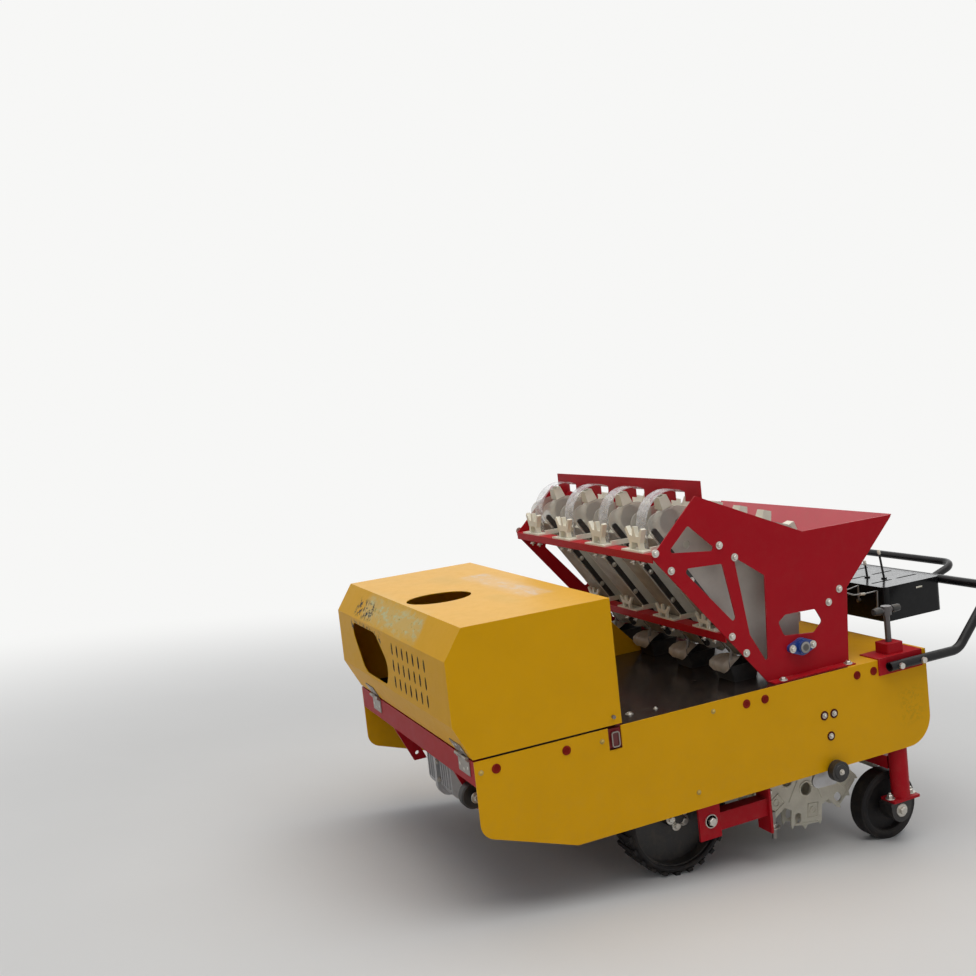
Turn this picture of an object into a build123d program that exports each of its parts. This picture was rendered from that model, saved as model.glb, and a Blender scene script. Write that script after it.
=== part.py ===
from build123d import *
from math import acos, atan2, cos, degrees, hypot, sin, sqrt
import os

# Four-row walk-behind garlic planter, in millimetres.
# It is drawn level on its own frame: X points forward, Y to the machine's left and Z up, with X = 0 at
# the front edge of the side panels. The last section turns it nose-down onto its four wheels, as it
# parks with the rear wheels let down and the planting wheels held clear of the ground.

# Body: folded side panels over a frame of square tube
ROWS = 4
ROW_PITCH = 215.0
BODY_WIDTH = 940.0
PANEL_SHEET = 3.0
PANEL_TOP = 417.0
PANEL_LOW = 133.0
PANEL_LENGTH = 1480.0
PANEL_KEEL_X = -263.0
PANEL_NOSE_Z = 222.0
RAIL = 50.0
RAIL_WALL = 3.0
DECK_SHEET = 4.0
REST_GAP = 0.3
MOVING_GAP = 6.0

# Bracket plates below the front beam: the station of each one's left face, and the X and Z of its free
# bolt hole
BRACKET_YS = [300.0, -190.0]
BRACKET_PLATE = 8.0
WEIGHT_BOLT = (-71.0, 252.0)
WEIGHT_BOLT_R = 6.5
BRACKET_FRONT = -4.0
BRACKET_TIP_XS = (-100.0, -60.0)
BRACKET_TIP_Z = 230.0

# Hood: sheet shell hinged along the front beam
HOOD_SHEET = 2.0
HOOD_LENGTH = 426.0
HOOD_TOP = 757.0
HOOD_CHAMFER_Z = 680.0
HOOD_FOLD_Z = 515.0
HOOD_OVERHANG = 47.0
HOOD_BOTTOM = PANEL_TOP + MOVING_GAP
HINGE_X = 7.0
HINGE_Z = PANEL_TOP + 3.0
HINGE_PIN_R = 2.5
HINGE_LEAF = 75.0
HINGE_THICK = 2.5
HINGE_YS = (405.0, -310.0)

# Engine and gearbox under the hood
ENGINE = (290.0, 310.0, 236.0)
ENGINE_X = -195.0
GEARBOX = (170.0, 190.0, 190.0)
GEARBOX_X = -165.0
GEARBOX_Y = -30.0
PULLEY_X = -42.0
PULLEY_Y = 325.0
PULLEY_Z = 282.0
PULLEY_R = 36.0

# Seed unit: two cut steel plates with the hopper walls and row gear between them
SEED_PLATE = 4.0
SEED_WIDTH = ROWS * ROW_PITCH
SHAFT_TOP = (-722.0, 905.0)
SHAFT_LOW = (-1053.0, 500.0)
IDLER = (-1075.0, 800.0)
SPROCKET_R = 36.0
CHAIN_THICK = 9.0
CHAIN_WIDTH = 20.0
CUP_PITCH = 86.0
CUP_SIZE = 34.0
HOUSING_GAP = 84.0
HOUSING_SHEET = 3.0
HOOP_R = 92.0
HOOP_WIDTH = 50.0
HOOP_SHEET = 3.0
WALL_TOP = (-768.0, 1017.0)
SEED_SHAFT_R = 10.0

# Wheels and shafts: X and Z of each centre
DRIVE_AXLE = (-619.0, 89.0)
DRIVE_R = 164.0
DRIVE_WIDTH = 90.0
DRIVE_TRACK = 690.0
DRIVE_AXLE_R = 15.0
DRIVE_RIB = 5.0
DRIVE_RIBS = 24
REAR_AXLE = (-1355.0, -59.0)
REAR_R = 105.0
REAR_WIDTH = 48.0
REAR_TRACK = 752.0
REAR_PIN_R = 8.0
PLANT_SHAFT = (-1105.0, 132.0)
PLANT_SHAFT_R = 12.5
PLANT_TIP_R = 215.0
PLANT_BILLS = 7
PLANT_HUB_WIDTH = 64.0
PLANT_WIDTH = 48.0
RUN_GAP = 0.08

# Rear posts, depth screws and handlebar
POST_X = -1375.0
POST_R = 27.5
POST_WALL = 4.0
POST_LOW = -25.0
POST_TOP = 389.0
SPINDLE_R = 9.0
SLEEVE = 65.0
SLEEVE_LOW = 150.0
BAR_R = 14.0
BRACKET_SHEET = 6.0
BAR_Y = BODY_WIDTH / 2 + BRACKET_SHEET + BAR_R
BAR_CROSS = (-1748.0, 562.0)
GRIP = (-1850.0, 594.0)
GRIP_HALF = 250.0
CONSOLE_HALF = 300.0
CONSOLE_X = (-1497.0, BAR_CROSS[0] + BAR_R + REST_GAP)
CONSOLE_DEPTH = 110.0
CONSOLE_SHEET = 3.0

HALF = BODY_WIDTH / 2
INNER = HALF - PANEL_SHEET
RAIL_TOP = PANEL_TOP - DECK_SHEET
RAIL_LOW = RAIL_TOP - RAIL
RAIL_Y = INNER - RAIL / 2
SEED_HALF = SEED_WIDTH / 2
ROW_YS = [(i - (ROWS - 1) / 2) * ROW_PITCH for i in range(ROWS)]
POST_Y = INNER - SLEEVE / 2
ROW_OUTER = HOUSING_GAP / 2 + HOUSING_SHEET

pieces = {}


def keep(name, part):
    """Keep one finished piece, level, under its node's name."""
    pieces[name] = part


def side_plane(y):
    """A side view of the machine at station y: sketch X is forward, sketch Y is up."""
    return Plane.XZ.offset(-y)


def outline(plane, corners):
    """A face from a table of corners: x, z and the radius that rounds the corner."""
    with BuildSketch(plane) as face:
        with BuildLine():
            Polyline(*[(x, z) for x, z, r in corners], close=True)
        make_face()
        for x, z, r in corners:
            if r:
                fillet(face.vertices().sort_by_distance((x, z))[0], r)
    return face.sketch


def tube_profile(plane, width, height, wall):
    """The section of a rectangular tube, centred on its plane."""
    with BuildSketch(plane) as section:
        Rectangle(width, height)
        Rectangle(width - 2 * wall, height - 2 * wall, mode=Mode.SUBTRACT)
    return section.sketch


def ring_profile(plane, outer, inner):
    """A round washer shape, centred on its plane."""
    with BuildSketch(plane) as section:
        Circle(outer)
        Circle(inner, mode=Mode.SUBTRACT)
    return section.sketch


def bent_sheet(plane, points, sheet):
    """A folded sheet seen edge on, its middle along a line of points: x, z."""
    with BuildSketch(plane) as face:
        with BuildLine():
            Polyline(*points)
            offset(amount=sheet / 2, side=Side.BOTH)
        make_face()
    return face.sketch


def hull_face(plane, rounds):
    """The outline of a belt stretched round a set of circles: x, z and radius."""
    with BuildSketch(plane) as face:
        for x, z, radius in rounds:
            with Locations((x, z)):
                Circle(radius)
        make_hull()
    return face.sketch


# Side panels, one folded sheet a side, with a notch for the hood latch and one round the planting shaft
LATCH_X = (-421.0, -382.0)
LATCH_LOW = 357.0
PANEL_CORNERS = [
    (0, PANEL_TOP, 0),
    (-PANEL_LENGTH, PANEL_TOP, 0),
    (-PANEL_LENGTH, PANEL_LOW, 85),
    (PANEL_KEEL_X, PANEL_LOW, 12),
    (0, PANEL_NOSE_Z, 45),
]
with BuildPart() as side_panel:
    extrude(outline(side_plane(HALF), PANEL_CORNERS), amount=PANEL_SHEET)
    with BuildSketch(side_plane(HALF)):
        with Locations(((LATCH_X[0] + LATCH_X[1]) / 2, PANEL_TOP)):
            Rectangle(LATCH_X[1] - LATCH_X[0], 2 * (PANEL_TOP - LATCH_LOW))
        with Locations(PLANT_SHAFT):
            Circle(PLANT_SHAFT_R + MOVING_GAP)
    extrude(amount=PANEL_SHEET, mode=Mode.SUBTRACT)
keep("side_panel_left", side_panel.part)
with BuildPart() as side_panel_right:
    mirror(side_panel.part, about=Plane.XZ)
keep("side_panel_right", side_panel_right.part)

# Main frame: two side rails, cross tubes, hangers for the axle and the planting shaft, and the rear sleeves
RAIL_FRONT = -10.0
RAIL_REAR = POST_X + SLEEVE / 2
CROSS_XS = [-110.0, -300.0, -619.0, -1210.0]
HANGER_SHEET = 8.0
HANGER_Y = 250.0
PLANT_HANGER_Y = 430.0


def hanger(y, centre, bore, width, foot):
    """A plate that hangs from a cross tube and carries a shaft in its bore."""
    with BuildPart() as plate:
        with BuildSketch(side_plane(y + HANGER_SHEET / 2)) as face:
            with BuildLine():
                Polyline(
                    (centre[0] - width / 2, RAIL_LOW),
                    (centre[0] + width / 2, RAIL_LOW),
                    (centre[0] + foot, centre[1]),
                    (centre[0] - foot, centre[1]),
                    close=True,
                )
            make_face()
            with Locations(centre):
                Circle(foot)
                Circle(bore, mode=Mode.SUBTRACT)
        extrude(amount=HANGER_SHEET)
    return plate.part


with BuildPart() as main_frame:
    for side in (1, -1):
        rail_plane = Plane(origin=(RAIL_FRONT, side * RAIL_Y, RAIL_TOP - RAIL / 2), z_dir=(-1, 0, 0))
        extrude(tube_profile(rail_plane, RAIL, RAIL, RAIL_WALL), amount=RAIL_FRONT - RAIL_REAR)
        sleeve_plane = Plane.XY.offset(SLEEVE_LOW).shift_origin((POST_X, side * POST_Y, SLEEVE_LOW))
        with BuildSketch(sleeve_plane):
            Rectangle(SLEEVE, SLEEVE)
            Circle(POST_R + REST_GAP, mode=Mode.SUBTRACT)
        extrude(amount=RAIL_TOP - SLEEVE_LOW)
        add(hanger(side * HANGER_Y, DRIVE_AXLE, DRIVE_AXLE_R + RUN_GAP, 130, 32))
        add(hanger(side * PLANT_HANGER_Y, PLANT_SHAFT, PLANT_SHAFT_R + RUN_GAP, 90, 26))
    cross_length = 2 * (RAIL_Y - RAIL / 2)
    for x in CROSS_XS:
        cross_plane = Plane(origin=(x, -cross_length / 2, RAIL_TOP - RAIL / 2), z_dir=(0, 1, 0))
        extrude(tube_profile(cross_plane, RAIL, RAIL, RAIL_WALL), amount=cross_length)
    rear_length = 2 * (POST_Y - SLEEVE / 2)
    rear_plane = Plane(origin=(POST_X, -rear_length / 2, RAIL_TOP - RAIL / 2), z_dir=(0, 1, 0))
    extrude(tube_profile(rear_plane, RAIL, RAIL, RAIL_WALL), amount=rear_length)
keep("main_frame", main_frame.part)

# Front beam: a pressed channel under the hood's front strip, with two bracket plates below it
BEAM_LOW = 352.0
BEAM_DEEP = 46.0
BEAM_SHEET = 4.0
with BuildPart() as front_beam:
    beam_plane = side_plane(INNER)
    with BuildSketch(beam_plane):
        with Locations((-BEAM_DEEP / 2, (PANEL_TOP + BEAM_LOW) / 2)):
            Rectangle(BEAM_DEEP, PANEL_TOP - BEAM_LOW)
        with Locations((-BEAM_DEEP / 2 - BEAM_SHEET, (PANEL_TOP + BEAM_LOW) / 2)):
            Rectangle(BEAM_DEEP, PANEL_TOP - BEAM_LOW - 2 * BEAM_SHEET, mode=Mode.SUBTRACT)
    extrude(amount=2 * INNER)
    for side in (1, -1):
        with BuildSketch(side_plane(side * RAIL_Y + RAIL / 2)):
            with Locations(((RAIL_FRONT - BEAM_DEEP) / 2, RAIL_TOP - RAIL / 2)):
                Rectangle(BEAM_DEEP + RAIL_FRONT, RAIL)
        extrude(amount=RAIL, mode=Mode.SUBTRACT)
    for y in BRACKET_YS:
        with BuildSketch(side_plane(y)):
            with BuildLine():
                Polyline(
                    (BRACKET_FRONT, BEAM_LOW),
                    (-BEAM_DEEP, BEAM_LOW),
                    (BRACKET_TIP_XS[0], BRACKET_TIP_Z),
                    (BRACKET_TIP_XS[1], BRACKET_TIP_Z),
                    close=True,
                )
            make_face()
            with Locations(WEIGHT_BOLT):
                Circle(WEIGHT_BOLT_R, mode=Mode.SUBTRACT)
        extrude(amount=BRACKET_PLATE)
keep("front_beam", front_beam.part)

# Hood: one sheet shell, open below, with its air openings in the front face and the top
HOOD_FOOT_X = 1.0
HOOD_BROW_X = -5.0
HOOD_CORNERS = [
    (HOOD_FOOT_X, HOOD_BOTTOM, 0),
    (HOOD_OVERHANG, HOOD_FOLD_Z, 0),
    (HOOD_OVERHANG, HOOD_CHAMFER_Z, 0),
    (HOOD_BROW_X, HOOD_TOP, 0),
    (-HOOD_LENGTH, HOOD_TOP, 0),
    (-HOOD_LENGTH, HOOD_BOTTOM, 0),
]
SLOT_ROWS = 3
SLOT_COLUMNS = 7
SLOT_MIDDLE = (185.0, 595.0)
SLOT_PITCH = (43.0, 47.0)
SLOT_SIZE = (30.0, 7.0)
VENT_MIDDLE = (-115.0, 40.0)
VENT_RADII = (95.0, 78.0)
CUT_DEPTH = 3 * HOOD_SHEET
INTAKE_CORNERS = [
    (-330, 640, 30),
    (-300, 664, 20),
    (-95, 664, 62),
    (10, 585, 45),
    (-24, 524, 25),
    (-230, 524, 75),
]
with BuildPart() as hood:
    extrude(outline(side_plane(HALF), HOOD_CORNERS), amount=BODY_WIDTH)
    floor_face = hood.faces().sort_by(Axis.Z)[0]
    offset(amount=-HOOD_SHEET, openings=floor_face)
    front_plane = Plane(origin=(HOOD_OVERHANG, 0, 0), x_dir=(0, 1, 0), z_dir=(1, 0, 0))
    extrude(outline(front_plane, INTAKE_CORNERS), amount=-CUT_DEPTH, mode=Mode.SUBTRACT)
    with BuildSketch(front_plane):
        with Locations(SLOT_MIDDLE):
            with GridLocations(*SLOT_PITCH, SLOT_COLUMNS, SLOT_ROWS):
                SlotOverall(*SLOT_SIZE, rotation=90)
    extrude(amount=-CUT_DEPTH, mode=Mode.SUBTRACT)
    with BuildSketch(Plane.XY.offset(HOOD_TOP)):
        with Locations(VENT_MIDDLE):
            Ellipse(*VENT_RADII)
    extrude(amount=-CUT_DEPTH, mode=Mode.SUBTRACT)
keep("hood", hood.part)

# Hood hardware: the upper leaves of two zinc butt hinges, and a catch stud on each side for the latches
LATCH_MID = (LATCH_X[0] + LATCH_X[1]) / 2
STUD_R = 5.0
STUD_LONG = 7.0
STUD_Z = 445.0
STRIP_TILT = atan2(HOOD_OVERHANG - HOOD_FOOT_X, HOOD_FOLD_Z - HOOD_BOTTOM)
LEAF_HIGH = 34.0
LEAF_START = 6.0
WEB_LAP = 2.0
KNUCKLE_R = 5.0
KNUCKLES = 3
KNUCKLE_LONG = HINGE_LEAF / KNUCKLES
strip_out = Vector(cos(STRIP_TILT), 0, -sin(STRIP_TILT))
strip_offset = Vector(HINGE_X - HOOD_FOOT_X, 0, HINGE_Z - HOOD_BOTTOM).dot(strip_out)


def strip_plane(y):
    """A side view at station y: sketch X leaves the hood's front strip and sketch Y climbs it."""
    return Plane(origin=(HOOD_FOOT_X, y, HOOD_BOTTOM), x_dir=strip_out, z_dir=(0, -1, 0))


with BuildPart() as hood_hardware:
    for y in HINGE_YS:
        with BuildSketch(strip_plane(y + HINGE_LEAF / 2)):
            with Locations((HINGE_THICK / 2, LEAF_START + LEAF_HIGH / 2)):
                Rectangle(HINGE_THICK, LEAF_HIGH)
        extrude(amount=HINGE_LEAF)
        with BuildSketch(strip_plane(y + KNUCKLE_LONG / 2)):
            with Locations((strip_offset / 2, (LEAF_START + WEB_LAP) / 2)):
                Rectangle(strip_offset, LEAF_START + WEB_LAP)
            with Locations((strip_offset, 0)):
                Circle(KNUCKLE_R)
        extrude(amount=KNUCKLE_LONG)
    with BuildSketch(side_plane(HALF)):
        with Locations((HINGE_X, HINGE_Z)):
            Circle(HINGE_PIN_R + RUN_GAP)
    extrude(amount=BODY_WIDTH, mode=Mode.SUBTRACT)
    for stud_y in (HALF + STUD_LONG, -HALF):
        with BuildSketch(side_plane(stud_y)):
            with Locations((LATCH_MID, STUD_Z)):
                Circle(STUD_R)
        extrude(amount=STUD_LONG)
keep("hood_hardware", hood_hardware.part)

# Fixed fittings of the hood: the lower hinge leaves with their pins, and a toggle latch in each panel notch
LATCH_Z = 385.0
LATCH_LOOP = (24.0, 42.0)
LATCH_DEEP = 5.0
LOOP_WIRE = 3.0
LATCH_BASE_R = 5.0
LOOP_OUTER_R = 7.0
LOOP_INNER_R = 4.0
WEB_DROP = 1.0
with BuildPart() as hood_fittings:
    for y in HINGE_YS:
        for end in (1, -1):
            with BuildSketch(side_plane(y + end * KNUCKLE_LONG + KNUCKLE_LONG / 2 - REST_GAP)):
                with Locations((HINGE_X, HINGE_Z)):
                    Circle(KNUCKLE_R)
                with Locations((HINGE_X / 2, HINGE_Z - KNUCKLE_R - WEB_DROP)):
                    Rectangle(HINGE_X, KNUCKLE_R)
            extrude(amount=KNUCKLE_LONG - 2 * REST_GAP)
        with BuildSketch(side_plane(y + HINGE_LEAF / 2 - REST_GAP)):
            with Locations((HINGE_X, HINGE_Z)):
                Circle(HINGE_PIN_R)
            with Locations((HINGE_THICK / 2, HINGE_Z - 2 * KNUCKLE_R - LEAF_HIGH / 2)):
                Rectangle(HINGE_THICK, LEAF_HIGH + KNUCKLE_R)
        extrude(amount=HINGE_LEAF - 2 * REST_GAP)
    for side in (1, -1):
        base_y = INNER + LATCH_DEEP if side > 0 else -INNER
        loop_y = INNER + LATCH_DEEP + LOOP_WIRE if side > 0 else -INNER - LATCH_DEEP
        with BuildSketch(side_plane(base_y)):
            with Locations((LATCH_MID, LATCH_Z)):
                RectangleRounded(LATCH_LOOP[0] - LOOP_WIRE, LATCH_LOOP[1] - LOOP_WIRE, LATCH_BASE_R)
        extrude(amount=LATCH_DEEP)
        with BuildSketch(side_plane(loop_y)):
            with Locations((LATCH_MID, LATCH_Z)):
                RectangleRounded(*LATCH_LOOP, LOOP_OUTER_R)
                eye = (LATCH_LOOP[0] - 2 * LOOP_WIRE, LATCH_LOOP[1] - 2 * LOOP_WIRE)
                RectangleRounded(*eye, LOOP_INNER_R, mode=Mode.SUBTRACT)
        extrude(amount=LOOP_WIRE)
keep("hood_fittings", hood_fittings.part)

# Engine, as a plain block on its two cross tubes, and the cast gearbox below it
ENGINE_CORNER = 18.0
with BuildPart() as engine:
    with Locations((ENGINE_X, 0, RAIL_TOP)):
        Box(*ENGINE, align=(Align.CENTER, Align.CENTER, Align.MIN))
    chamfer(engine.edges().filter_by(Axis.Z), ENGINE_CORNER)
keep("engine", engine.part)

FOOT_HIGH = 16.0
FOOT_REACH = 25.0
SEAM_WIDE = 18.0
SEAM_PROUD = 12.0
CASE_CORNER_R = 30.0
SEAM_CORNER_R = 38.0
CAP_R = 44.0
CAP_LONG = 8.0
with BuildPart() as gearbox:
    gearbox_mid = (GEARBOX_X, RAIL_LOW - GEARBOX[2] / 2)
    with BuildSketch(side_plane(GEARBOX_Y + GEARBOX[1] / 2)):
        with Locations(gearbox_mid):
            RectangleRounded(GEARBOX[0], GEARBOX[2], CASE_CORNER_R)
        with Locations((GEARBOX_X, RAIL_LOW - FOOT_HIGH / 2)):
            Rectangle(GEARBOX[0] + 2 * FOOT_REACH, FOOT_HIGH)
    extrude(amount=GEARBOX[1])
    with BuildSketch(side_plane(GEARBOX_Y + SEAM_WIDE / 2)):
        with Locations(gearbox_mid):
            RectangleRounded(GEARBOX[0] + 2 * SEAM_PROUD, GEARBOX[2] + 2 * SEAM_PROUD, SEAM_CORNER_R)
        with Locations((GEARBOX_X, RAIL_LOW + SEAM_PROUD)):
            Rectangle(GEARBOX[0] + 2 * FOOT_REACH, 2 * SEAM_PROUD, mode=Mode.SUBTRACT)
    extrude(amount=SEAM_WIDE)
    with BuildSketch(side_plane(GEARBOX_Y + GEARBOX[1] / 2 + CAP_LONG)):
        with Locations(gearbox_mid):
            Circle(CAP_R)
    extrude(amount=GEARBOX[1] + 2 * CAP_LONG)
keep("gearbox", gearbox.part)

PULLEY_WIDE = 28.0
PULLEY_BOLT_R = 9.0
PULLEY_BEVEL = 4.0
with BuildPart() as belt_pulley:
    with BuildSketch(side_plane(PULLEY_Y + PULLEY_WIDE / 2)):
        with Locations((PULLEY_X, PULLEY_Z)):
            Circle(PULLEY_R)
    extrude(amount=PULLEY_WIDE)
    groove = belt_pulley.faces().filter_by(GeomType.CYLINDER).edges()
    chamfer(groove, PULLEY_BEVEL)
    with BuildSketch(side_plane(PULLEY_Y + PULLEY_WIDE)):
        with Locations((PULLEY_X, PULLEY_Z)):
            Circle(PULLEY_BOLT_R)
    extrude(amount=PULLEY_WIDE + PULLEY_Y - BRACKET_YS[0])
keep("belt_pulley", belt_pulley.part)

# Deck plate of the open middle, and the rear deck behind the seed unit
DECK_X = (-HOOD_LENGTH - MOVING_GAP, -1190.0)
DROP_X = -905.0
DROP_SIZE = 76.0
REAR_APRON = 68.0
with BuildPart() as deck_plate:
    with BuildSketch(Plane.XY.offset(RAIL_TOP)):
        with Locations(((DECK_X[0] + DECK_X[1]) / 2, 0)):
            Rectangle(DECK_X[0] - DECK_X[1], 2 * INNER)
        with Locations(*[(DROP_X, y) for y in ROW_YS]):
            Rectangle(DROP_SIZE, DROP_SIZE, mode=Mode.SUBTRACT)
    extrude(amount=DECK_SHEET)
keep("deck_plate", deck_plate.part)

with BuildPart() as rear_deck:
    with BuildSketch(Plane.XY.offset(RAIL_TOP)):
        with Locations(((DECK_X[1] - PANEL_LENGTH) / 2, 0)):
            Rectangle(PANEL_LENGTH + DECK_X[1], 2 * INNER)
        with Locations((POST_X, POST_Y), (POST_X, -POST_Y)):
            Circle(SPINDLE_R + MOVING_GAP, mode=Mode.SUBTRACT)
    extrude(amount=DECK_SHEET)
    with BuildSketch(Plane.YZ.offset(-PANEL_LENGTH)):
        with Locations((0, RAIL_TOP - REAR_APRON / 2)):
            Rectangle(2 * INNER, REAR_APRON)
    extrude(amount=DECK_SHEET)
keep("rear_deck", rear_deck.part)

# Drive guard: a yellow sheet box over the belt run from the engine to the seed unit
GUARD_Y = -173.0
GUARD_WIDTH = 62.0
GUARD_TOP = 536.0
GUARD_REAR = (-775.0, -888.0)
with BuildPart() as chain_guard:
    guard_corners = [
        (DECK_X[0], PANEL_TOP, 0),
        (DECK_X[0], GUARD_TOP, 0),
        (GUARD_REAR[0], GUARD_TOP, 0),
        (GUARD_REAR[1], PANEL_TOP, 0),
    ]
    extrude(outline(side_plane(GUARD_Y), guard_corners), amount=GUARD_WIDTH)
    guard_floor = chain_guard.faces().sort_by(Axis.Z)[0]
    offset(amount=-HOOD_SHEET, openings=guard_floor)
keep("chain_guard", chain_guard.part)

# Seed plates: the two cut plates, with their foot flanges
P_FRONT = (-589.0, 832.0)
P_PEAK = (-744.0, 979.0)
P_VALLEY = (-1094.0, 828.0)
P_REAR = (-1430.0, 828.0)
P_KNEE = (-1239.0, 640.0)
P_REAR_FOOT = (-1223.0, PANEL_TOP)
P_FRONT_FOOT = (-932.0, PANEL_TOP)
SEED_PLATE_CORNERS = [
    (*P_FRONT, 10),
    (*P_PEAK, 4),
    (*P_VALLEY, 0),
    (*P_REAR, 4),
    (*P_KNEE, 0),
    (*P_REAR_FOOT, 0),
    (*P_FRONT_FOOT, 0),
]
WINDOWS = [
    [(-712, 902, 8), (-640, 836, 8), (-803, 818, 8)],
    [(-680, 786, 10), (-812, 780, 8), (-846, 596, 8)],
    [(-852, 793, 6), (-951, 724, 6), (-937, 468, 6), (-883, 566, 6)],
    [
        (-984, 582, 8),
        (-1010, 600, 14),
        (-1118, 597, 12),
        (-1140, 557, 12),
        (-1108, 530, 12),
        (-1000, 540, 14),
    ],
]
FOOT_FLANGE = 34.0
with BuildPart() as seed_plate:
    extrude(outline(side_plane(SEED_HALF), SEED_PLATE_CORNERS), amount=SEED_PLATE)
    for window in WINDOWS:
        extrude(outline(side_plane(SEED_HALF), window), amount=SEED_PLATE, mode=Mode.SUBTRACT)
    with BuildSketch(Plane.XY.offset(PANEL_TOP)):
        with Locations(((P_FRONT_FOOT[0] + P_REAR_FOOT[0]) / 2, SEED_HALF + FOOT_FLANGE / 2 - SEED_PLATE)):
            Rectangle(P_FRONT_FOOT[0] - P_REAR_FOOT[0], FOOT_FLANGE)
    extrude(amount=SEED_PLATE)
    with BuildSketch(side_plane(SEED_HALF)):
        with Locations(SHAFT_LOW):
            Circle(SEED_SHAFT_R + RUN_GAP)
    extrude(amount=SEED_PLATE, mode=Mode.SUBTRACT)
keep("seed_plate_left", seed_plate.part)
with BuildPart() as seed_plate_right:
    mirror(seed_plate.part, about=Plane.XZ)
keep("seed_plate_right", seed_plate_right.part)

# Hopper: an upright front sheet, a pale floor that slopes back between the rows, and the sloped back sheet
SEED_CLEAR = 2 * (SEED_HALF - SEED_PLATE)
WALL_SHEET = 3.0
WALL_LOW = 905.0
FLOOR_SHEET = 2.0
FLOOR_FLANGE = 30.0
FLOOR_END = (-1146.0, 645.0)
CUP_NOTCH_TOP = 983.0
ROW_NOTCH_TOP = 957.0
ROW_NOTCH = HOUSING_GAP + 2 * HOUSING_SHEET + 14
with BuildPart() as hopper_front_wall:
    with BuildSketch(Plane.YZ.offset(WALL_TOP[0] - WALL_SHEET / 2)):
        with Locations((0, (WALL_TOP[1] + WALL_LOW) / 2)):
            Rectangle(SEED_CLEAR, WALL_TOP[1] - WALL_LOW)
        with Locations(*[(y, ROW_NOTCH_TOP / 2) for y in ROW_YS]):
            Rectangle(ROW_NOTCH, ROW_NOTCH_TOP, mode=Mode.SUBTRACT)
        with Locations(*[(y, CUP_NOTCH_TOP / 2) for y in ROW_YS]):
            Rectangle(HOOP_WIDTH, CUP_NOTCH_TOP, mode=Mode.SUBTRACT)
    extrude(amount=WALL_SHEET)
keep("hopper_front_wall", hopper_front_wall.part)

with BuildPart() as hopper_floor:
    floor_fold = (WALL_TOP[0] - (WALL_SHEET + FLOOR_SHEET) / 2, WALL_LOW)
    floor_points = [(floor_fold[0], WALL_LOW + FLOOR_FLANGE), floor_fold, FLOOR_END]
    extrude(bent_sheet(side_plane(SEED_CLEAR / 2), floor_points, FLOOR_SHEET), amount=SEED_CLEAR)
    with BuildSketch(Plane.YZ.offset(FLOOR_END[0] - 20)):
        with Locations(*[(y, ROW_NOTCH_TOP / 2) for y in ROW_YS]):
            Rectangle(ROW_NOTCH, ROW_NOTCH_TOP)
    extrude(amount=WALL_TOP[0] - FLOOR_END[0] + 40, mode=Mode.SUBTRACT)
keep("hopper_floor", hopper_floor.part)

BACK_LIP_X = -1152.0
with BuildPart() as hopper_back_wall:
    back_points = [P_REAR, P_KNEE, (BACK_LIP_X, P_KNEE[1])]
    extrude(bent_sheet(side_plane(SEED_CLEAR / 2), back_points, WALL_SHEET), amount=SEED_CLEAR)
keep("hopper_back_wall", hopper_back_wall.part)

# Cross bars of the seed unit: light red angles with their flat flange on top
ANGLE_DEEP = 44.0
ANGLE_HIGH = 22.0
ANGLE_SHEET = 3.0
ANGLE_FRONTS = [(-592.0, 838.0), (-803.0, 579.0)]
with BuildPart() as seed_bars:
    for x, z in ANGLE_FRONTS:
        with BuildSketch(side_plane(SEED_CLEAR / 2)):
            with Locations((x - ANGLE_DEEP / 2, z - ANGLE_HIGH / 2)):
                Rectangle(ANGLE_DEEP, ANGLE_HIGH)
            with Locations((x - ANGLE_DEEP / 2 - ANGLE_SHEET, z - ANGLE_HIGH / 2 - ANGLE_SHEET)):
                Rectangle(ANGLE_DEEP, ANGLE_HIGH, mode=Mode.SUBTRACT)
        extrude(amount=SEED_CLEAR)
keep("seed_bars", seed_bars.part)

# Seed shafts: the driven lower shaft across all rows, and each row's top and idler sprockets on short pins
SPROCKET_WIDTH = 8.0
BEARING_DEEP = 12.0
BEARING_BOSS = 22.0
SHAFT_END = 4.0
PIN_END = 2.0
with BuildPart() as seed_shafts:
    with BuildSketch(side_plane(SEED_HALF + BEARING_BOSS + SHAFT_END)):
        with Locations(SHAFT_LOW):
            Circle(SEED_SHAFT_R)
    extrude(amount=2 * (SEED_HALF + BEARING_BOSS + SHAFT_END))
    for y in ROW_YS:
        with BuildSketch(side_plane(y + SPROCKET_WIDTH / 2)):
            with Locations(SHAFT_LOW, SHAFT_TOP, IDLER):
                Circle(SPROCKET_R - REST_GAP)
        extrude(amount=SPROCKET_WIDTH)
        with BuildSketch(side_plane(y + HOUSING_GAP / 2 + HOUSING_SHEET + PIN_END)):
            with Locations(SHAFT_TOP, IDLER):
                Circle(SEED_SHAFT_R)
        extrude(amount=HOUSING_GAP + 2 * (HOUSING_SHEET + PIN_END))
keep("seed_shafts", seed_shafts.part)

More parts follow.
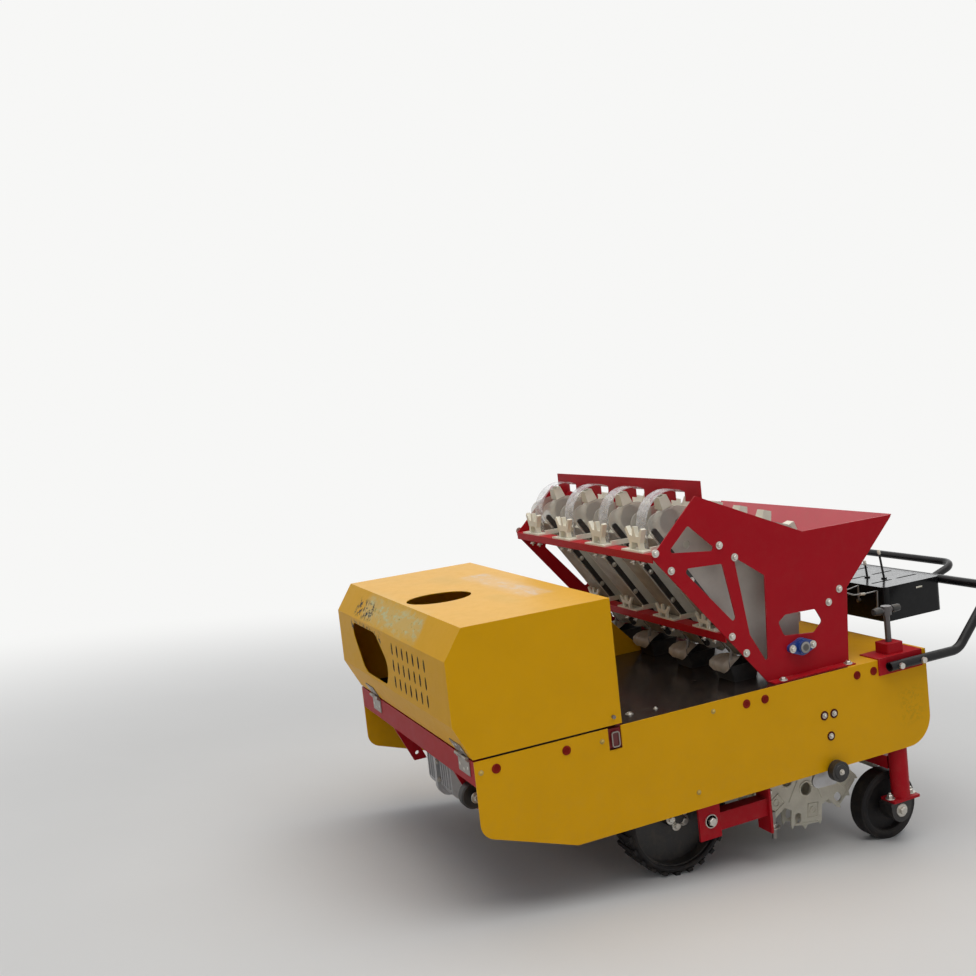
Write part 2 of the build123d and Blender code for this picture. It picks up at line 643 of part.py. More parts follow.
# Flange bearings of the lower shaft, two bolts each, outside the seed plates
BEARING_SPAN = 36.0
BEARING_R = 25.0
BEARING_EAR_R = 12.0
BEARING_STEP = 5.0
with BuildPart() as flange_bearings:
    for side in (1, -1):
        base_y = SEED_HALF + BEARING_DEEP if side > 0 else -SEED_HALF
        boss_y = SEED_HALF + BEARING_BOSS if side > 0 else -SEED_HALF
        ears = [(SHAFT_LOW[0] + step, SHAFT_LOW[1], BEARING_EAR_R) for step in (-BEARING_SPAN, BEARING_SPAN)]
        extrude(hull_face(side_plane(base_y), [*ears, (*SHAFT_LOW, BEARING_R)]), amount=BEARING_DEEP)
        with BuildSketch(side_plane(boss_y)):
            with Locations(SHAFT_LOW):
                Circle(BEARING_R - BEARING_STEP)
        extrude(amount=BEARING_BOSS)
    with BuildSketch(side_plane(HALF)):
        with Locations(SHAFT_LOW):
            Circle(SEED_SHAFT_R + RUN_GAP)
    extrude(amount=BODY_WIDTH, mode=Mode.SUBTRACT)
keep("flange_bearings", flange_bearings.part)

# Row housings: a pale side plate each side of every chain, with a round shoulder in front of the top shaft
HOUSING_R = 48.0
SHOULDER = (-660.0, 905.0)
SHOULDER_R = 36.0
CHUTE_FOOT = (-940.0, 500.0)
CHUTE_R = 30.0
SIGHT_HOLE = (-743.0, 840.0)
SIGHT_HOLE_R = 11.0
with BuildPart() as row_housings:
    housing_rounds = [
        (*SHOULDER, SHOULDER_R),
        (*SHAFT_TOP, HOUSING_R),
        (*IDLER, HOUSING_R),
        (*SHAFT_LOW, HOUSING_R),
        (*CHUTE_FOOT, CHUTE_R),
    ]
    for y in ROW_YS:
        for face_y in (y + HOUSING_GAP / 2 + HOUSING_SHEET, y - HOUSING_GAP / 2):
            extrude(hull_face(side_plane(face_y), housing_rounds), amount=HOUSING_SHEET)
    with BuildSketch(side_plane(SEED_HALF)):
        with Locations(SHAFT_LOW, SHAFT_TOP, IDLER):
            Circle(SEED_SHAFT_R + REST_GAP)
        with Locations(SIGHT_HOLE):
            Circle(SIGHT_HOLE_R)
    extrude(amount=SEED_WIDTH, mode=Mode.SUBTRACT)
keep("row_housings", row_housings.part)

# Chute fronts: a milky strip between each pair of housing plates, along their front edge below the cover
FRONT_SHEET = 2.0
FRONT_START = 18.0
with BuildPart() as chute_fronts:
    front_line = hull_face(side_plane(0), [(*SHOULDER, SHOULDER_R), (*CHUTE_FOOT, CHUTE_R)]).edges()
    front_edge = front_line.filter_by(GeomType.LINE).sort_by(Axis.X)[-1]
    front_low, front_high = sorted((front_edge @ 0, front_edge @ 1), key=lambda point: point.Z)
    down = (front_low - front_high).normalized()
    inward = Vector(down.Z, 0, -down.X) * (FRONT_SHEET / 2)
    front_ends = [front_high + down * FRONT_START + inward, front_low + inward]
    front_points = [(point.X, point.Z) for point in front_ends]
    for y in ROW_YS:
        front_side = side_plane(y + HOUSING_GAP / 2 - REST_GAP)
        extrude(bent_sheet(front_side, front_points, FRONT_SHEET), amount=HOUSING_GAP - 2 * REST_GAP)
keep("chute_fronts", chute_fronts.part)

# Row rails: black strips bolted along the front edge of the housing plates, outside them
RAIL_STRIP = 6.0
RAIL_DEEP = 16.0
with BuildPart() as row_rails:
    fall = Vector(CHUTE_FOOT[0] - SHOULDER[0], CHUTE_FOOT[1] - SHOULDER[1])
    ahead = Vector(-fall.Y, fall.X).normalized() * (CHUTE_R - RAIL_DEEP / 2)
    ends = [(point[0] + ahead.X, point[1] + ahead.Y) for point in (SHOULDER, CHUTE_FOOT)]
    for y in ROW_YS:
        for face_y in (y + ROW_OUTER + RAIL_STRIP, y - ROW_OUTER):
            extrude(bent_sheet(side_plane(face_y), ends, RAIL_DEEP), amount=RAIL_STRIP)
keep("row_rails", row_rails.part)

# Seed clamps: white castings that stand on the two cross bars and hold each row's rails. Each has a foot,
# an arm beside each rail, and a crown with three prongs on two splayed legs.
CLAMP_FOOT = 5.0
CLAMP_DEEP = 36.0
CLAMP_ARM = 8.0
CLAMP_ARM_HIGH = 14.0
CLAMP_REACH = 64.0
CLAMP_SET_BACK = 2.0
CLAMP_LAP = 16.0
CLAW_CROWN = [
    (-24, 14),
    (24, 14),
    (38, 40),
    (30, 42),
    (20, 26),
    (6, 26),
    (2, 44),
    (-6, 44),
    (-8, 26),
    (-20, 28),
    (-32, 44),
    (-38, 38),
]
CLAW_LEG = [(16, -1), (25, -1), (22, 18), (12, 18)]
# Columns: the bar's front edge, how far back its claws stand, their stretch sideways and upward, and
# their thickness
CLAW_BARS = [(ANGLE_FRONTS[0], 12.0, 1.2, 1.45, 14.0), (ANGLE_FRONTS[1], 1.0, 1.0, 0.9, 7.0)]
with BuildPart() as seed_clamps:
    for (x, z), back, wide, high, thick in CLAW_BARS:
        for y in ROW_YS:
            ear_y = ROW_OUTER + RAIL_STRIP
            with BuildSketch(side_plane(y + ear_y + CLAMP_ARM)):
                with Locations((x - ANGLE_DEEP / 2 + CLAMP_SET_BACK, z + CLAMP_FOOT / 2)):
                    Rectangle(CLAMP_DEEP, CLAMP_FOOT)
            extrude(amount=2 * (ear_y + CLAMP_ARM))
            for face_y in (y + ear_y + CLAMP_ARM, y - ear_y):
                with BuildSketch(side_plane(face_y)):
                    with Locations((x - ANGLE_DEEP + CLAMP_LAP - CLAMP_REACH / 2, z + CLAMP_ARM_HIGH / 2)):
                        Rectangle(CLAMP_REACH, CLAMP_ARM_HIGH)
                extrude(amount=CLAMP_ARM)
            with BuildSketch(Plane.YZ.offset(x - back)):
                for shape in (CLAW_CROWN, CLAW_LEG, [(-across, up) for across, up in CLAW_LEG]):
                    corners = [(y + across * wide, z + CLAMP_FOOT + up * high) for across, up in shape]
                    with BuildLine():
                        Polyline(*corners, close=True)
                    make_face()
            extrude(amount=-thick)
keep("seed_clamps", seed_clamps.part)

# Seed chains: each a closed band with an open cup at every pitch
CUP_WIDE = 38.0
CUP_WALL = 4.0
CUP_LAP = 1.0
CUP_TAPER = 6.0


def loop_face(plane, reach):
    """The outline that a belt would take round the three sprockets, reach away from their centres."""
    return hull_face(plane, [(*centre, reach) for centre in (SHAFT_TOP, IDLER, SHAFT_LOW)])


def seed_chain(y):
    """A band round the three sprockets of the row at station y, with its cups."""
    with BuildPart() as chain:
        left_face = side_plane(y + CHAIN_WIDTH / 2)
        extrude(loop_face(left_face, SPROCKET_R + CHAIN_THICK), amount=CHAIN_WIDTH)
        extrude(loop_face(left_face, SPROCKET_R), amount=CHAIN_WIDTH, mode=Mode.SUBTRACT)
        run = loop_face(side_plane(y), SPROCKET_R + CHAIN_THICK - CUP_LAP).face().outer_wire()
        middle_x, middle_z = (sum(values) / 3 for values in zip(SHAFT_TOP, IDLER, SHAFT_LOW))
        middle = Vector(middle_x, y, middle_z)
        cups = round(run.length / CUP_PITCH)
        for i in range(cups):
            spot = run @ (i / cups)
            along = run % (i / cups)
            outward = along.cross(Vector(0, 1, 0))
            if outward.dot(spot - middle) < 0:
                outward = outward * -1
            with BuildSketch(Plane(origin=spot, x_dir=along, z_dir=outward)):
                Rectangle(CUP_SIZE, CUP_WIDE)
            extrude(amount=CUP_SIZE + CUP_LAP, taper=CUP_TAPER)
            rim = spot + outward * (CUP_SIZE + CUP_LAP)
            with BuildSketch(Plane(origin=rim, x_dir=along, z_dir=outward)):
                Rectangle(CUP_SIZE - 4 * CUP_WALL, CUP_WIDE - 4 * CUP_WALL)
            extrude(amount=-CUP_SIZE + CUP_WALL, mode=Mode.SUBTRACT)
    return chain.part


for row, y in enumerate(ROW_YS, start=1):
    keep(f"seed_chain_{row}", seed_chain(y))

# Row covers: a clear strip bent over each top sprocket, from the hopper wall down to the upper bar
HOOP_MID_R = HOOP_R - HOOP_SHEET / 2
HOOP_END_X = WALL_TOP[0] + (WALL_SHEET + HOOP_SHEET) / 2 + REST_GAP
HOOP_END_DEG = degrees(acos((HOOP_END_X - SHAFT_TOP[0]) / HOOP_MID_R))
HOOP_FOOT_Z = ANGLE_FRONTS[0][1] + CLAMP_FOOT + HOOP_SHEET / 2 + REST_GAP
with BuildPart() as row_covers:
    for y in ROW_YS:
        with BuildSketch(side_plane(y + HOOP_WIDTH / 2)):
            with BuildLine():
                arc = CenterArc(SHAFT_TOP, HOOP_MID_R, 0, HOOP_END_DEG)
                Line(arc @ 0, (SHAFT_TOP[0] + HOOP_MID_R, HOOP_FOOT_Z))
                offset(amount=HOOP_SHEET / 2, side=Side.BOTH)
            make_face()
        extrude(amount=HOOP_WIDTH)
keep("row_covers", row_covers.part)

# Funnels: a black tapered spout through the deck under the foot of every row
FUNNEL_TOP = (100.0, 84.0)
FUNNEL_FOOT = DROP_SIZE - 2 * REST_GAP
FUNNEL_WALL = 3.0
FUNNEL_HIGH = 466.0
FUNNEL_LOW = 380.0
with BuildPart() as funnels:
    for y in ROW_YS:
        for inset, mode in ((0, Mode.ADD), (FUNNEL_WALL, Mode.SUBTRACT)):
            with BuildSketch(Plane.XY.offset(PANEL_TOP)):
                with Locations((DROP_X, y)):
                    Rectangle(FUNNEL_FOOT - 2 * inset, FUNNEL_FOOT - 2 * inset)
            with BuildSketch(Plane.XY.offset(FUNNEL_HIGH)):
                with Locations((DROP_X, y)):
                    Rectangle(FUNNEL_TOP[0] - 2 * inset, FUNNEL_TOP[1] - 2 * inset)
            loft(mode=mode)
            with BuildSketch(Plane.XY.offset(FUNNEL_LOW)):
                with Locations((DROP_X, y)):
                    Rectangle(FUNNEL_FOOT - 2 * inset, FUNNEL_FOOT - 2 * inset)
            extrude(amount=PANEL_TOP - FUNNEL_LOW, mode=mode)
keep("funnels", funnels.part)

# Drive wheels: a through axle with pressed discs, and lugged tyres at its ends
RIM_R = 140.0
RIM_LIP = 4.0
RIM_INSET = 10.0
DISC = 6.0
HUB_R = 34.0
with BuildPart() as drive_axle:
    with BuildSketch(side_plane(DRIVE_TRACK / 2 + DRIVE_WIDTH / 2 + 4)):
        with Locations(DRIVE_AXLE):
            Circle(DRIVE_AXLE_R)
    extrude(amount=DRIVE_TRACK + DRIVE_WIDTH + 8)
    for side in (1, -1):
        mid = side * DRIVE_TRACK / 2
        with BuildSketch(side_plane(mid + DISC / 2)):
            with Locations(DRIVE_AXLE):
                Circle(RIM_R)
        extrude(amount=DISC)
        with BuildSketch(side_plane(mid + DRIVE_WIDTH / 2 - RIM_INSET / 2)):
            with Locations(DRIVE_AXLE):
                Circle(HUB_R)
        extrude(amount=DRIVE_WIDTH - RIM_INSET)
        with BuildSketch(side_plane(mid + DRIVE_WIDTH / 2 - RIM_INSET)):
            with Locations(DRIVE_AXLE):
                Circle(RIM_R)
                Circle(RIM_R - RIM_LIP, mode=Mode.SUBTRACT)
        extrude(amount=DRIVE_WIDTH - 2 * RIM_INSET)
keep("drive_axle", drive_axle.part)

RIB_WIDE = 15.0
RIB_ROOT = 4.0
CASING_R = DRIVE_R - DRIVE_RIB
CASING_BEVEL = 8.0
STAND_DEG = degrees(
    acos((DRIVE_R - REAR_R) / hypot(DRIVE_AXLE[0] - REAR_AXLE[0], DRIVE_AXLE[1] - REAR_AXLE[1]))
    - atan2(DRIVE_AXLE[0] - REAR_AXLE[0], DRIVE_AXLE[1] - REAR_AXLE[1])
)


def drive_tyre(side):
    """A tyre with low flat ribs across it, one of them square to the ground as it stands."""
    with BuildPart() as tyre:
        mid = side * DRIVE_TRACK / 2
        with BuildSketch(side_plane(mid + DRIVE_WIDTH / 2)):
            with Locations(DRIVE_AXLE):
                Circle(CASING_R)
                Circle(RIM_R + REST_GAP, mode=Mode.SUBTRACT)
        extrude(amount=DRIVE_WIDTH)
        chamfer(tyre.edges().filter_by(GeomType.CIRCLE).group_by(SortBy.RADIUS)[-1], CASING_BEVEL)
        with BuildSketch(side_plane(mid + DRIVE_WIDTH / 2)):
            with Locations(DRIVE_AXLE):
                rib_middle = CASING_R + (DRIVE_RIB - RIB_ROOT) / 2
                with PolarLocations(rib_middle, DRIVE_RIBS, start_angle=STAND_DEG - 90):
                    Rectangle(DRIVE_RIB + RIB_ROOT, RIB_WIDE)
        extrude(amount=DRIVE_WIDTH)
    return tyre.part


keep("drive_tyre_left", drive_tyre(1))
keep("drive_tyre_right", drive_tyre(-1))

# Planting shaft with a boss outside each panel, and the bill wheels of the four rows
BOSS_R = 30.0
BOSS_LONG = 22.0
with BuildPart() as planting_shaft:
    with BuildSketch(side_plane(HALF + MOVING_GAP + BOSS_LONG)):
        with Locations(PLANT_SHAFT):
            Circle(PLANT_SHAFT_R)
    extrude(amount=2 * (HALF + MOVING_GAP + BOSS_LONG))
    for boss_y in (HALF + MOVING_GAP + BOSS_LONG, -HALF - MOVING_GAP):
        with BuildSketch(side_plane(boss_y)):
            with Locations(PLANT_SHAFT):
                Circle(BOSS_R)
        extrude(amount=BOSS_LONG)
keep("planting_shaft", planting_shaft.part)

PLANT_HUB_R = 34.0
PLANT_SHEET = 5.0
PLANT_PLATE_R = 160.0
PLANT_DEG = STAND_DEG - 90
PLANT_FACE_R = 203.0
# One seventh of a bill wheel's rim: radius, and distance round from the middle tooth
BILL_RIM = [
    (PLANT_PLATE_R - 15, -62),
    (PLANT_FACE_R, -62),
    (PLANT_TIP_R, -57),
    (PLANT_FACE_R, -50),
    (PLANT_FACE_R, -8),
    (PLANT_TIP_R, 0),
    (PLANT_FACE_R, 8),
    (PLANT_FACE_R, 41),
    (PLANT_TIP_R, 47),
    (PLANT_FACE_R, 52),
    (PLANT_PLATE_R - 15, 52),
]
BILL_MOUTH = (30.0, 24.0)
BILL_MOUTH_R = 10.0
BILL_MOUTH_AT = (18.0, 27.0)
BILL_BODY = (50.0, 50.0)
BILL_BODY_AT = (9.0, -31.0)
LIGHT_HOLE_R = 19.0
LIGHT_HOLES_AT = 92.0
with BuildSketch() as bill_face:
    rim_corners = [(sqrt(radius**2 - across**2) - PLANT_PLATE_R, across) for radius, across in BILL_RIM]
    with BuildLine():
        Polyline(*rim_corners, close=True)
    make_face()
    with Locations(BILL_MOUTH_AT):
        RectangleRounded(*BILL_MOUTH, BILL_MOUTH_R, mode=Mode.SUBTRACT)


def planting_wheel(y):
    """A hub with two toothed side plates, joined round their rims by the bodies of the seven bills."""
    with BuildPart() as wheel:
        for face_y in (y + PLANT_WIDTH / 2, y - PLANT_WIDTH / 2 + PLANT_SHEET):
            with BuildSketch(side_plane(face_y)):
                with Locations(PLANT_SHAFT):
                    Circle(PLANT_PLATE_R)
                    with PolarLocations(LIGHT_HOLES_AT, PLANT_BILLS, start_angle=PLANT_DEG):
                        Circle(LIGHT_HOLE_R, mode=Mode.SUBTRACT)
                    with PolarLocations(PLANT_PLATE_R, PLANT_BILLS, start_angle=PLANT_DEG):
                        add(bill_face.sketch)
            extrude(amount=PLANT_SHEET)
        with BuildSketch(side_plane(y + PLANT_WIDTH / 2 - PLANT_SHEET)):
            with Locations(PLANT_SHAFT):
                with PolarLocations(PLANT_PLATE_R, PLANT_BILLS, start_angle=PLANT_DEG):
                    with Locations(BILL_BODY_AT):
                        Rectangle(*BILL_BODY)
        extrude(amount=PLANT_WIDTH - 2 * PLANT_SHEET)
        with BuildSketch(side_plane(y + PLANT_HUB_WIDTH / 2)):
            with Locations(PLANT_SHAFT):
                Circle(PLANT_HUB_R)
        extrude(amount=PLANT_HUB_WIDTH)
        with BuildSketch(side_plane(y + PLANT_HUB_WIDTH / 2)):
            with Locations(PLANT_SHAFT):
                Circle(PLANT_SHAFT_R + RUN_GAP)
        extrude(amount=PLANT_HUB_WIDTH, mode=Mode.SUBTRACT)
    return wheel.part


for row, y in enumerate(ROW_YS, start=1):
    keep(f"planting_wheel_{row}", planting_wheel(y))

# Cam plates: a light steel plate beside each shaft hanger, which opens the bills as they pass
CAM_SHEET = 6.0
CAM_ROUNDS = [(*PLANT_SHAFT, 26.0), (-1070.0, 98.0, 22.0), (-1124.0, 94.0, 20.0)]
with BuildPart() as cam_plates:
    for side in (1, -1):
        hanger_face = PLANT_HANGER_Y + HANGER_SHEET / 2
        cam_y = hanger_face + CAM_SHEET if side > 0 else -hanger_face
        extrude(hull_face(side_plane(cam_y), CAM_ROUNDS), amount=CAM_SHEET)
        with BuildSketch(side_plane(cam_y)):
            with Locations(PLANT_SHAFT):
                Circle(PLANT_SHAFT_R + RUN_GAP)
        extrude(amount=CAM_SHEET, mode=Mode.SUBTRACT)
keep("cam_plates", cam_plates.part)

# Planting arms: a bracket under each rail with a square tube that runs back beside the drive wheel
ARM_LOW = 40.0
ARM_HIGH = 50.0
ARM_WIDE = 40.0
ARM_WALL = 3.0
ARM_X = (-700.0, -885.0)
ARM_PLATE = 8.0
ARM_FLANGE = (60.0, 130.0)
ARM_FLANGE_Z = 55.0
ARM_BRACKET = (-650.0, -720.0)
ARM_BRACKET_LOW = 27.0
ARM_OUTER_Y = DRIVE_TRACK / 2 + DRIVE_WIDTH / 2 + MOVING_GAP + ARM_WIDE
with BuildPart() as planting_arms:
    for side in (1, -1):
        mid_y = side * (ARM_OUTER_Y - ARM_WIDE / 2)
        arm_plane = Plane(origin=(ARM_X[0], mid_y, ARM_LOW + ARM_HIGH / 2), z_dir=(-1, 0, 0))
        extrude(tube_profile(arm_plane, ARM_HIGH, ARM_WIDE, ARM_WALL), amount=ARM_X[0] - ARM_X[1])
        with BuildSketch(Plane.YZ.offset(ARM_X[1] - ARM_PLATE)):
            with Locations((mid_y, ARM_FLANGE_Z)):
                Rectangle(*ARM_FLANGE)
        extrude(amount=ARM_PLATE)
        bracket_y = side * (ARM_OUTER_Y + ARM_PLATE / 2)
        with BuildSketch(side_plane(bracket_y + ARM_PLATE / 2)):
            with Locations(((ARM_BRACKET[0] + ARM_BRACKET[1]) / 2, (RAIL_LOW + ARM_BRACKET_LOW) / 2)):
                Rectangle(ARM_BRACKET[0] - ARM_BRACKET[1], RAIL_LOW - ARM_BRACKET_LOW)
        extrude(amount=ARM_PLATE)
keep("planting_arms", planting_arms.part)

# Rear posts: round tubes up into the frame sleeves, joined above the wheels by a cross beam
FLANGE_HIGH = 8.0
BEAM_Z = (56.0, 96.0)
BEAM_WIDE = 40.0
BEAM_WALL = 3.0
POST_FLANGE = (100.0, 56.0)
FLANGE_INWARD = 2.0
BEAM_LAP = 2.0
TIE_HIGH = 13.0
with BuildPart() as rear_posts:
    for side in (1, -1):
        post_plane = Plane(origin=(POST_X, side * POST_Y, POST_LOW))
        extrude(ring_profile(post_plane, POST_R, POST_R - POST_WALL), amount=POST_TOP - POST_LOW)
        with BuildSketch(Plane.XY.offset(POST_LOW - FLANGE_HIGH)):
            with Locations((POST_X, side * (POST_Y - FLANGE_INWARD))):
                Rectangle(*POST_FLANGE)
        extrude(amount=FLANGE_HIGH)
    with BuildSketch(side_plane(POST_Y - POST_R + BEAM_LAP)):
        with Locations((POST_X, (BEAM_Z[0] + BEAM_Z[1]) / 2)):
            Rectangle(BEAM_WIDE, BEAM_Z[1] - BEAM_Z[0])
            Rectangle(BEAM_WIDE - 2 * BEAM_WALL, BEAM_Z[1] - BEAM_Z[0] - 2 * BEAM_WALL, mode=Mode.SUBTRACT)
    extrude(amount=2 * (POST_Y - POST_R + BEAM_LAP))
keep("rear_posts", rear_posts.part)

# Tie bar: a bare flat bar along the underside of the rear cross beam, between the wheels
with BuildPart() as tie_bar:
    tie_end = (REAR_TRACK - REAR_WIDTH) / 2 - MOVING_GAP
    with BuildSketch(side_plane(tie_end)):
        with Locations((POST_X, BEAM_Z[0] - TIE_HIGH / 2)):
            Rectangle(BEAM_WIDE, TIE_HIGH)
    extrude(amount=2 * tie_end)
keep("tie_bar", tie_bar.part)

# Rear hubs: a black housing under each post flange, with the wheel pin
HUB_CASE_R = 36.0
HUB_EAR_R = 6.0
HUB_EAR_XS = (-1390.0, -1322.0)
HOUSING_Y = (404.0, 456.0)
PIN_HEAD = 6.0
PIN_HEAD_GAP = 2.0
PIN_HEAD_STEP = 5.0
PIN_OUTER = 6.0
PIN_INNER = 8.0
with BuildPart() as rear_hubs:
    wheel_face = (REAR_TRACK - REAR_WIDTH) / 2
    for side in (1, -1):
        outer_y = HOUSING_Y[1] if side > 0 else -HOUSING_Y[0]
        ears = [(x, POST_LOW - FLANGE_HIGH - HUB_EAR_R, HUB_EAR_R) for x in HUB_EAR_XS]
        case = hull_face(side_plane(outer_y), [*ears, (*REAR_AXLE, HUB_CASE_R)])
        extrude(case, amount=HOUSING_Y[1] - HOUSING_Y[0])
        with BuildSketch(side_plane(outer_y)):
            with Locations((REAR_AXLE[0], POST_LOW - FLANGE_HIGH + HUB_CASE_R)):
                Rectangle(2 * HUB_CASE_R, 2 * HUB_CASE_R)
        extrude(amount=HOUSING_Y[1] - HOUSING_Y[0], mode=Mode.SUBTRACT)
        pin_y = HOUSING_Y[1] + PIN_OUTER if side > 0 else PIN_INNER - wheel_face
        with BuildSketch(side_plane(pin_y)):
            with Locations(REAR_AXLE):
                Circle(REAR_PIN_R)
        extrude(amount=HOUSING_Y[1] + PIN_OUTER + PIN_INNER - wheel_face)
        head_y = side * (wheel_face - PIN_HEAD_GAP - PIN_HEAD / 2)
        with BuildSketch(side_plane(head_y + PIN_HEAD / 2)):
            with Locations(REAR_AXLE):
                Circle(REAR_PIN_R + PIN_HEAD_STEP)
        extrude(amount=PIN_HEAD)
keep("rear_hubs", rear_hubs.part)

REAR_TREAD = 26.0
REAR_HUB_R = 24.0
REAR_WEB = 12.0


def rear_wheel(side):
    """A plain gauge wheel with a solid tyre, a web and a bored hub."""
    with BuildPart() as wheel:
        mid = side * REAR_TRACK / 2
        with BuildSketch(side_plane(mid + REAR_WIDTH / 2)):
            with Locations(REAR_AXLE):
                Circle(REAR_R)
                Circle(REAR_R - REAR_TREAD, mode=Mode.SUBTRACT)
                Circle(REAR_HUB_R)
        extrude(amount=REAR_WIDTH)
        with BuildSketch(side_plane(mid + REAR_WEB / 2)):
            with Locations(REAR_AXLE):
                Circle(REAR_R - REAR_TREAD / 2)
        extrude(amount=REAR_WEB)
        with BuildSketch(side_plane(mid + REAR_WIDTH / 2)):
            with Locations(REAR_AXLE):
                Circle(REAR_PIN_R + RUN_GAP)
        extrude(amount=REAR_WIDTH, mode=Mode.SUBTRACT)
    return wheel.part


keep("rear_wheel_left", rear_wheel(1))
keep("rear_wheel_right", rear_wheel(-1))

# Rear blocks: the red nut block of each depth screw and the handlebar's bracket, one welded piece a side,
# with the two bolts that hold the bar against it
BLOCK_TOP = 452.0
BLOCK = (60.0, 56.0)
BLOCK_CORNER_R = 6.0
BRACKET_X = (-1295.0, -1460.0)
BRACKET_LOW = 370.0
BRACKET_LEDGE = (80.0, 4.0)
BAR_Z = 395.0
BAR_START = -1319.0
BAR_BOLT_XS = (-1352.0, -1438.0)
BAR_BOLT_R = 5.0
BAR_HEAD_R = 9.0
BAR_HEAD = 6.0
with BuildPart() as rear_blocks:
    bracket_mid = (BRACKET_X[0] + BRACKET_X[1]) / 2
    bracket_top = PANEL_TOP + BRACKET_LEDGE[1]
    bolt_face = BAR_Y + BAR_R + REST_GAP
    for side in (1, -1):
        plate_y = HALF + BRACKET_SHEET if side > 0 else -HALF
        with BuildSketch(side_plane(plate_y)):
            with Locations((bracket_mid, (BRACKET_LOW + bracket_top) / 2)):
                Rectangle(BRACKET_X[0] - BRACKET_X[1], bracket_top - BRACKET_LOW)
        extrude(amount=BRACKET_SHEET)
        with BuildSketch(Plane.XY.offset(PANEL_TOP)):
            with Locations((bracket_mid, side * (HALF + BRACKET_SHEET - BRACKET_LEDGE[0] / 2))):
                Rectangle(BRACKET_X[0] - BRACKET_X[1], BRACKET_LEDGE[0])
        extrude(amount=BRACKET_LEDGE[1])
        with BuildSketch(Plane.XY.offset(PANEL_TOP)):
            with Locations((POST_X, side * POST_Y)):
                RectangleRounded(*BLOCK, BLOCK_CORNER_R)
        extrude(amount=BLOCK_TOP - PANEL_TOP)
        with BuildSketch(Plane.XY.offset(PANEL_TOP)):
            with Locations((POST_X, side * POST_Y)):
                Circle(SPINDLE_R + RUN_GAP)
        extrude(amount=BLOCK_TOP - PANEL_TOP, mode=Mode.SUBTRACT)
        with BuildSketch(side_plane(bolt_face if side > 0 else -HALF)):
            with Locations(*[(x, BAR_Z) for x in BAR_BOLT_XS]):
                Circle(BAR_BOLT_R)
        extrude(amount=bolt_face - HALF)
        with BuildSketch(side_plane(bolt_face + BAR_HEAD if side > 0 else -bolt_face)):
            with Locations(*[(x, BAR_Z) for x in BAR_BOLT_XS]):
                Circle(BAR_HEAD_R)
        extrude(amount=BAR_HEAD)
keep("rear_blocks", rear_blocks.part)

# Depth screws: the spindle on each post's cap, with its cross handle
SPINDLE_TOP = 556.0
HANDLE_LONG = 100.0
HANDLE_R = 8.0
POST_CAP = 6.0
# Head of each screw: its radius, its height, and how far it starts below the spindle's top
SCREW_HEAD = (15.0, 26.0, 22.0)
with BuildPart() as depth_screws:
    for side in (1, -1):
        with BuildSketch(Plane.XY.offset(POST_TOP)):
            with Locations((POST_X, side * POST_Y)):
                Circle(SPINDLE_R)
        extrude(amount=SPINDLE_TOP - POST_TOP)
        with BuildSketch(Plane.XY.offset(POST_TOP)):
            with Locations((POST_X, side * POST_Y)):
                Circle(POST_R)
        extrude(amount=POST_CAP)
        with BuildSketch(Plane.XY.offset(SPINDLE_TOP - SCREW_HEAD[2])):
            with Locations((POST_X, side * POST_Y)):
                Circle(SCREW_HEAD[0])
        extrude(amount=SCREW_HEAD[1])
        with BuildSketch(Plane.YZ.offset(POST_X - HANDLE_LONG / 2)):
            with Locations((side * POST_Y, SPINDLE_TOP - HANDLE_R)):
                Circle(HANDLE_R)
        extrude(amount=HANDLE_LONG)
keep("depth_screws", depth_screws.part)

# Handlebar: one bent tube along both sides and across the back, with the grip loop behind it
GRIP_R = 12.0
BAR_BEND_R = 60.0
GRIP_BEND_R = 45.0
BAR_BEND_X = -1590.0
BAR_MOUTH = (10.5, 25.0)
with BuildPart() as handlebar:
    with BuildLine() as bar_line:
        FilletPolyline(
            (BAR_START, BAR_Y, BAR_Z),
            (BAR_BEND_X, BAR_Y, BAR_Z),
            (BAR_CROSS[0], BAR_Y, BAR_CROSS[1]),
            (BAR_CROSS[0], -BAR_Y, BAR_CROSS[1]),
            (BAR_BEND_X, -BAR_Y, BAR_Z),
            (BAR_START, -BAR_Y, BAR_Z),
            radius=BAR_BEND_R,
        )
    with BuildSketch(Plane(origin=bar_line.line @ 0, z_dir=bar_line.line % 0)):
        Circle(BAR_R)
    sweep(path=bar_line.line)
    with BuildLine() as grip_line:
        FilletPolyline(
            (BAR_CROSS[0], GRIP_HALF, BAR_CROSS[1]),
            (GRIP[0], GRIP_HALF, GRIP[1]),
            (GRIP[0], -GRIP_HALF, GRIP[1]),
            (BAR_CROSS[0], -GRIP_HALF, BAR_CROSS[1]),
            radius=GRIP_BEND_R,
        )
    with BuildSketch(Plane(origin=grip_line.line @ 0, z_dir=grip_line.line % 0)):
        Circle(GRIP_R)
    sweep(path=grip_line.line)
    with BuildSketch(Plane.YZ.offset(BAR_START)):
        with Locations((BAR_Y, BAR_Z), (-BAR_Y, BAR_Z)):
            Circle(BAR_MOUTH[0])
    extrude(amount=-BAR_MOUTH[1], mode=Mode.SUBTRACT)
    with BuildSketch(side_plane(BAR_Y + BAR_R)):
        with Locations(*[(x, BAR_Z) for x in BAR_BOLT_XS]):
            Circle(BAR_BOLT_R + REST_GAP)
    extrude(amount=2 * (BAR_Y + BAR_R), mode=Mode.SUBTRACT)
keep("handlebar", handlebar.part)

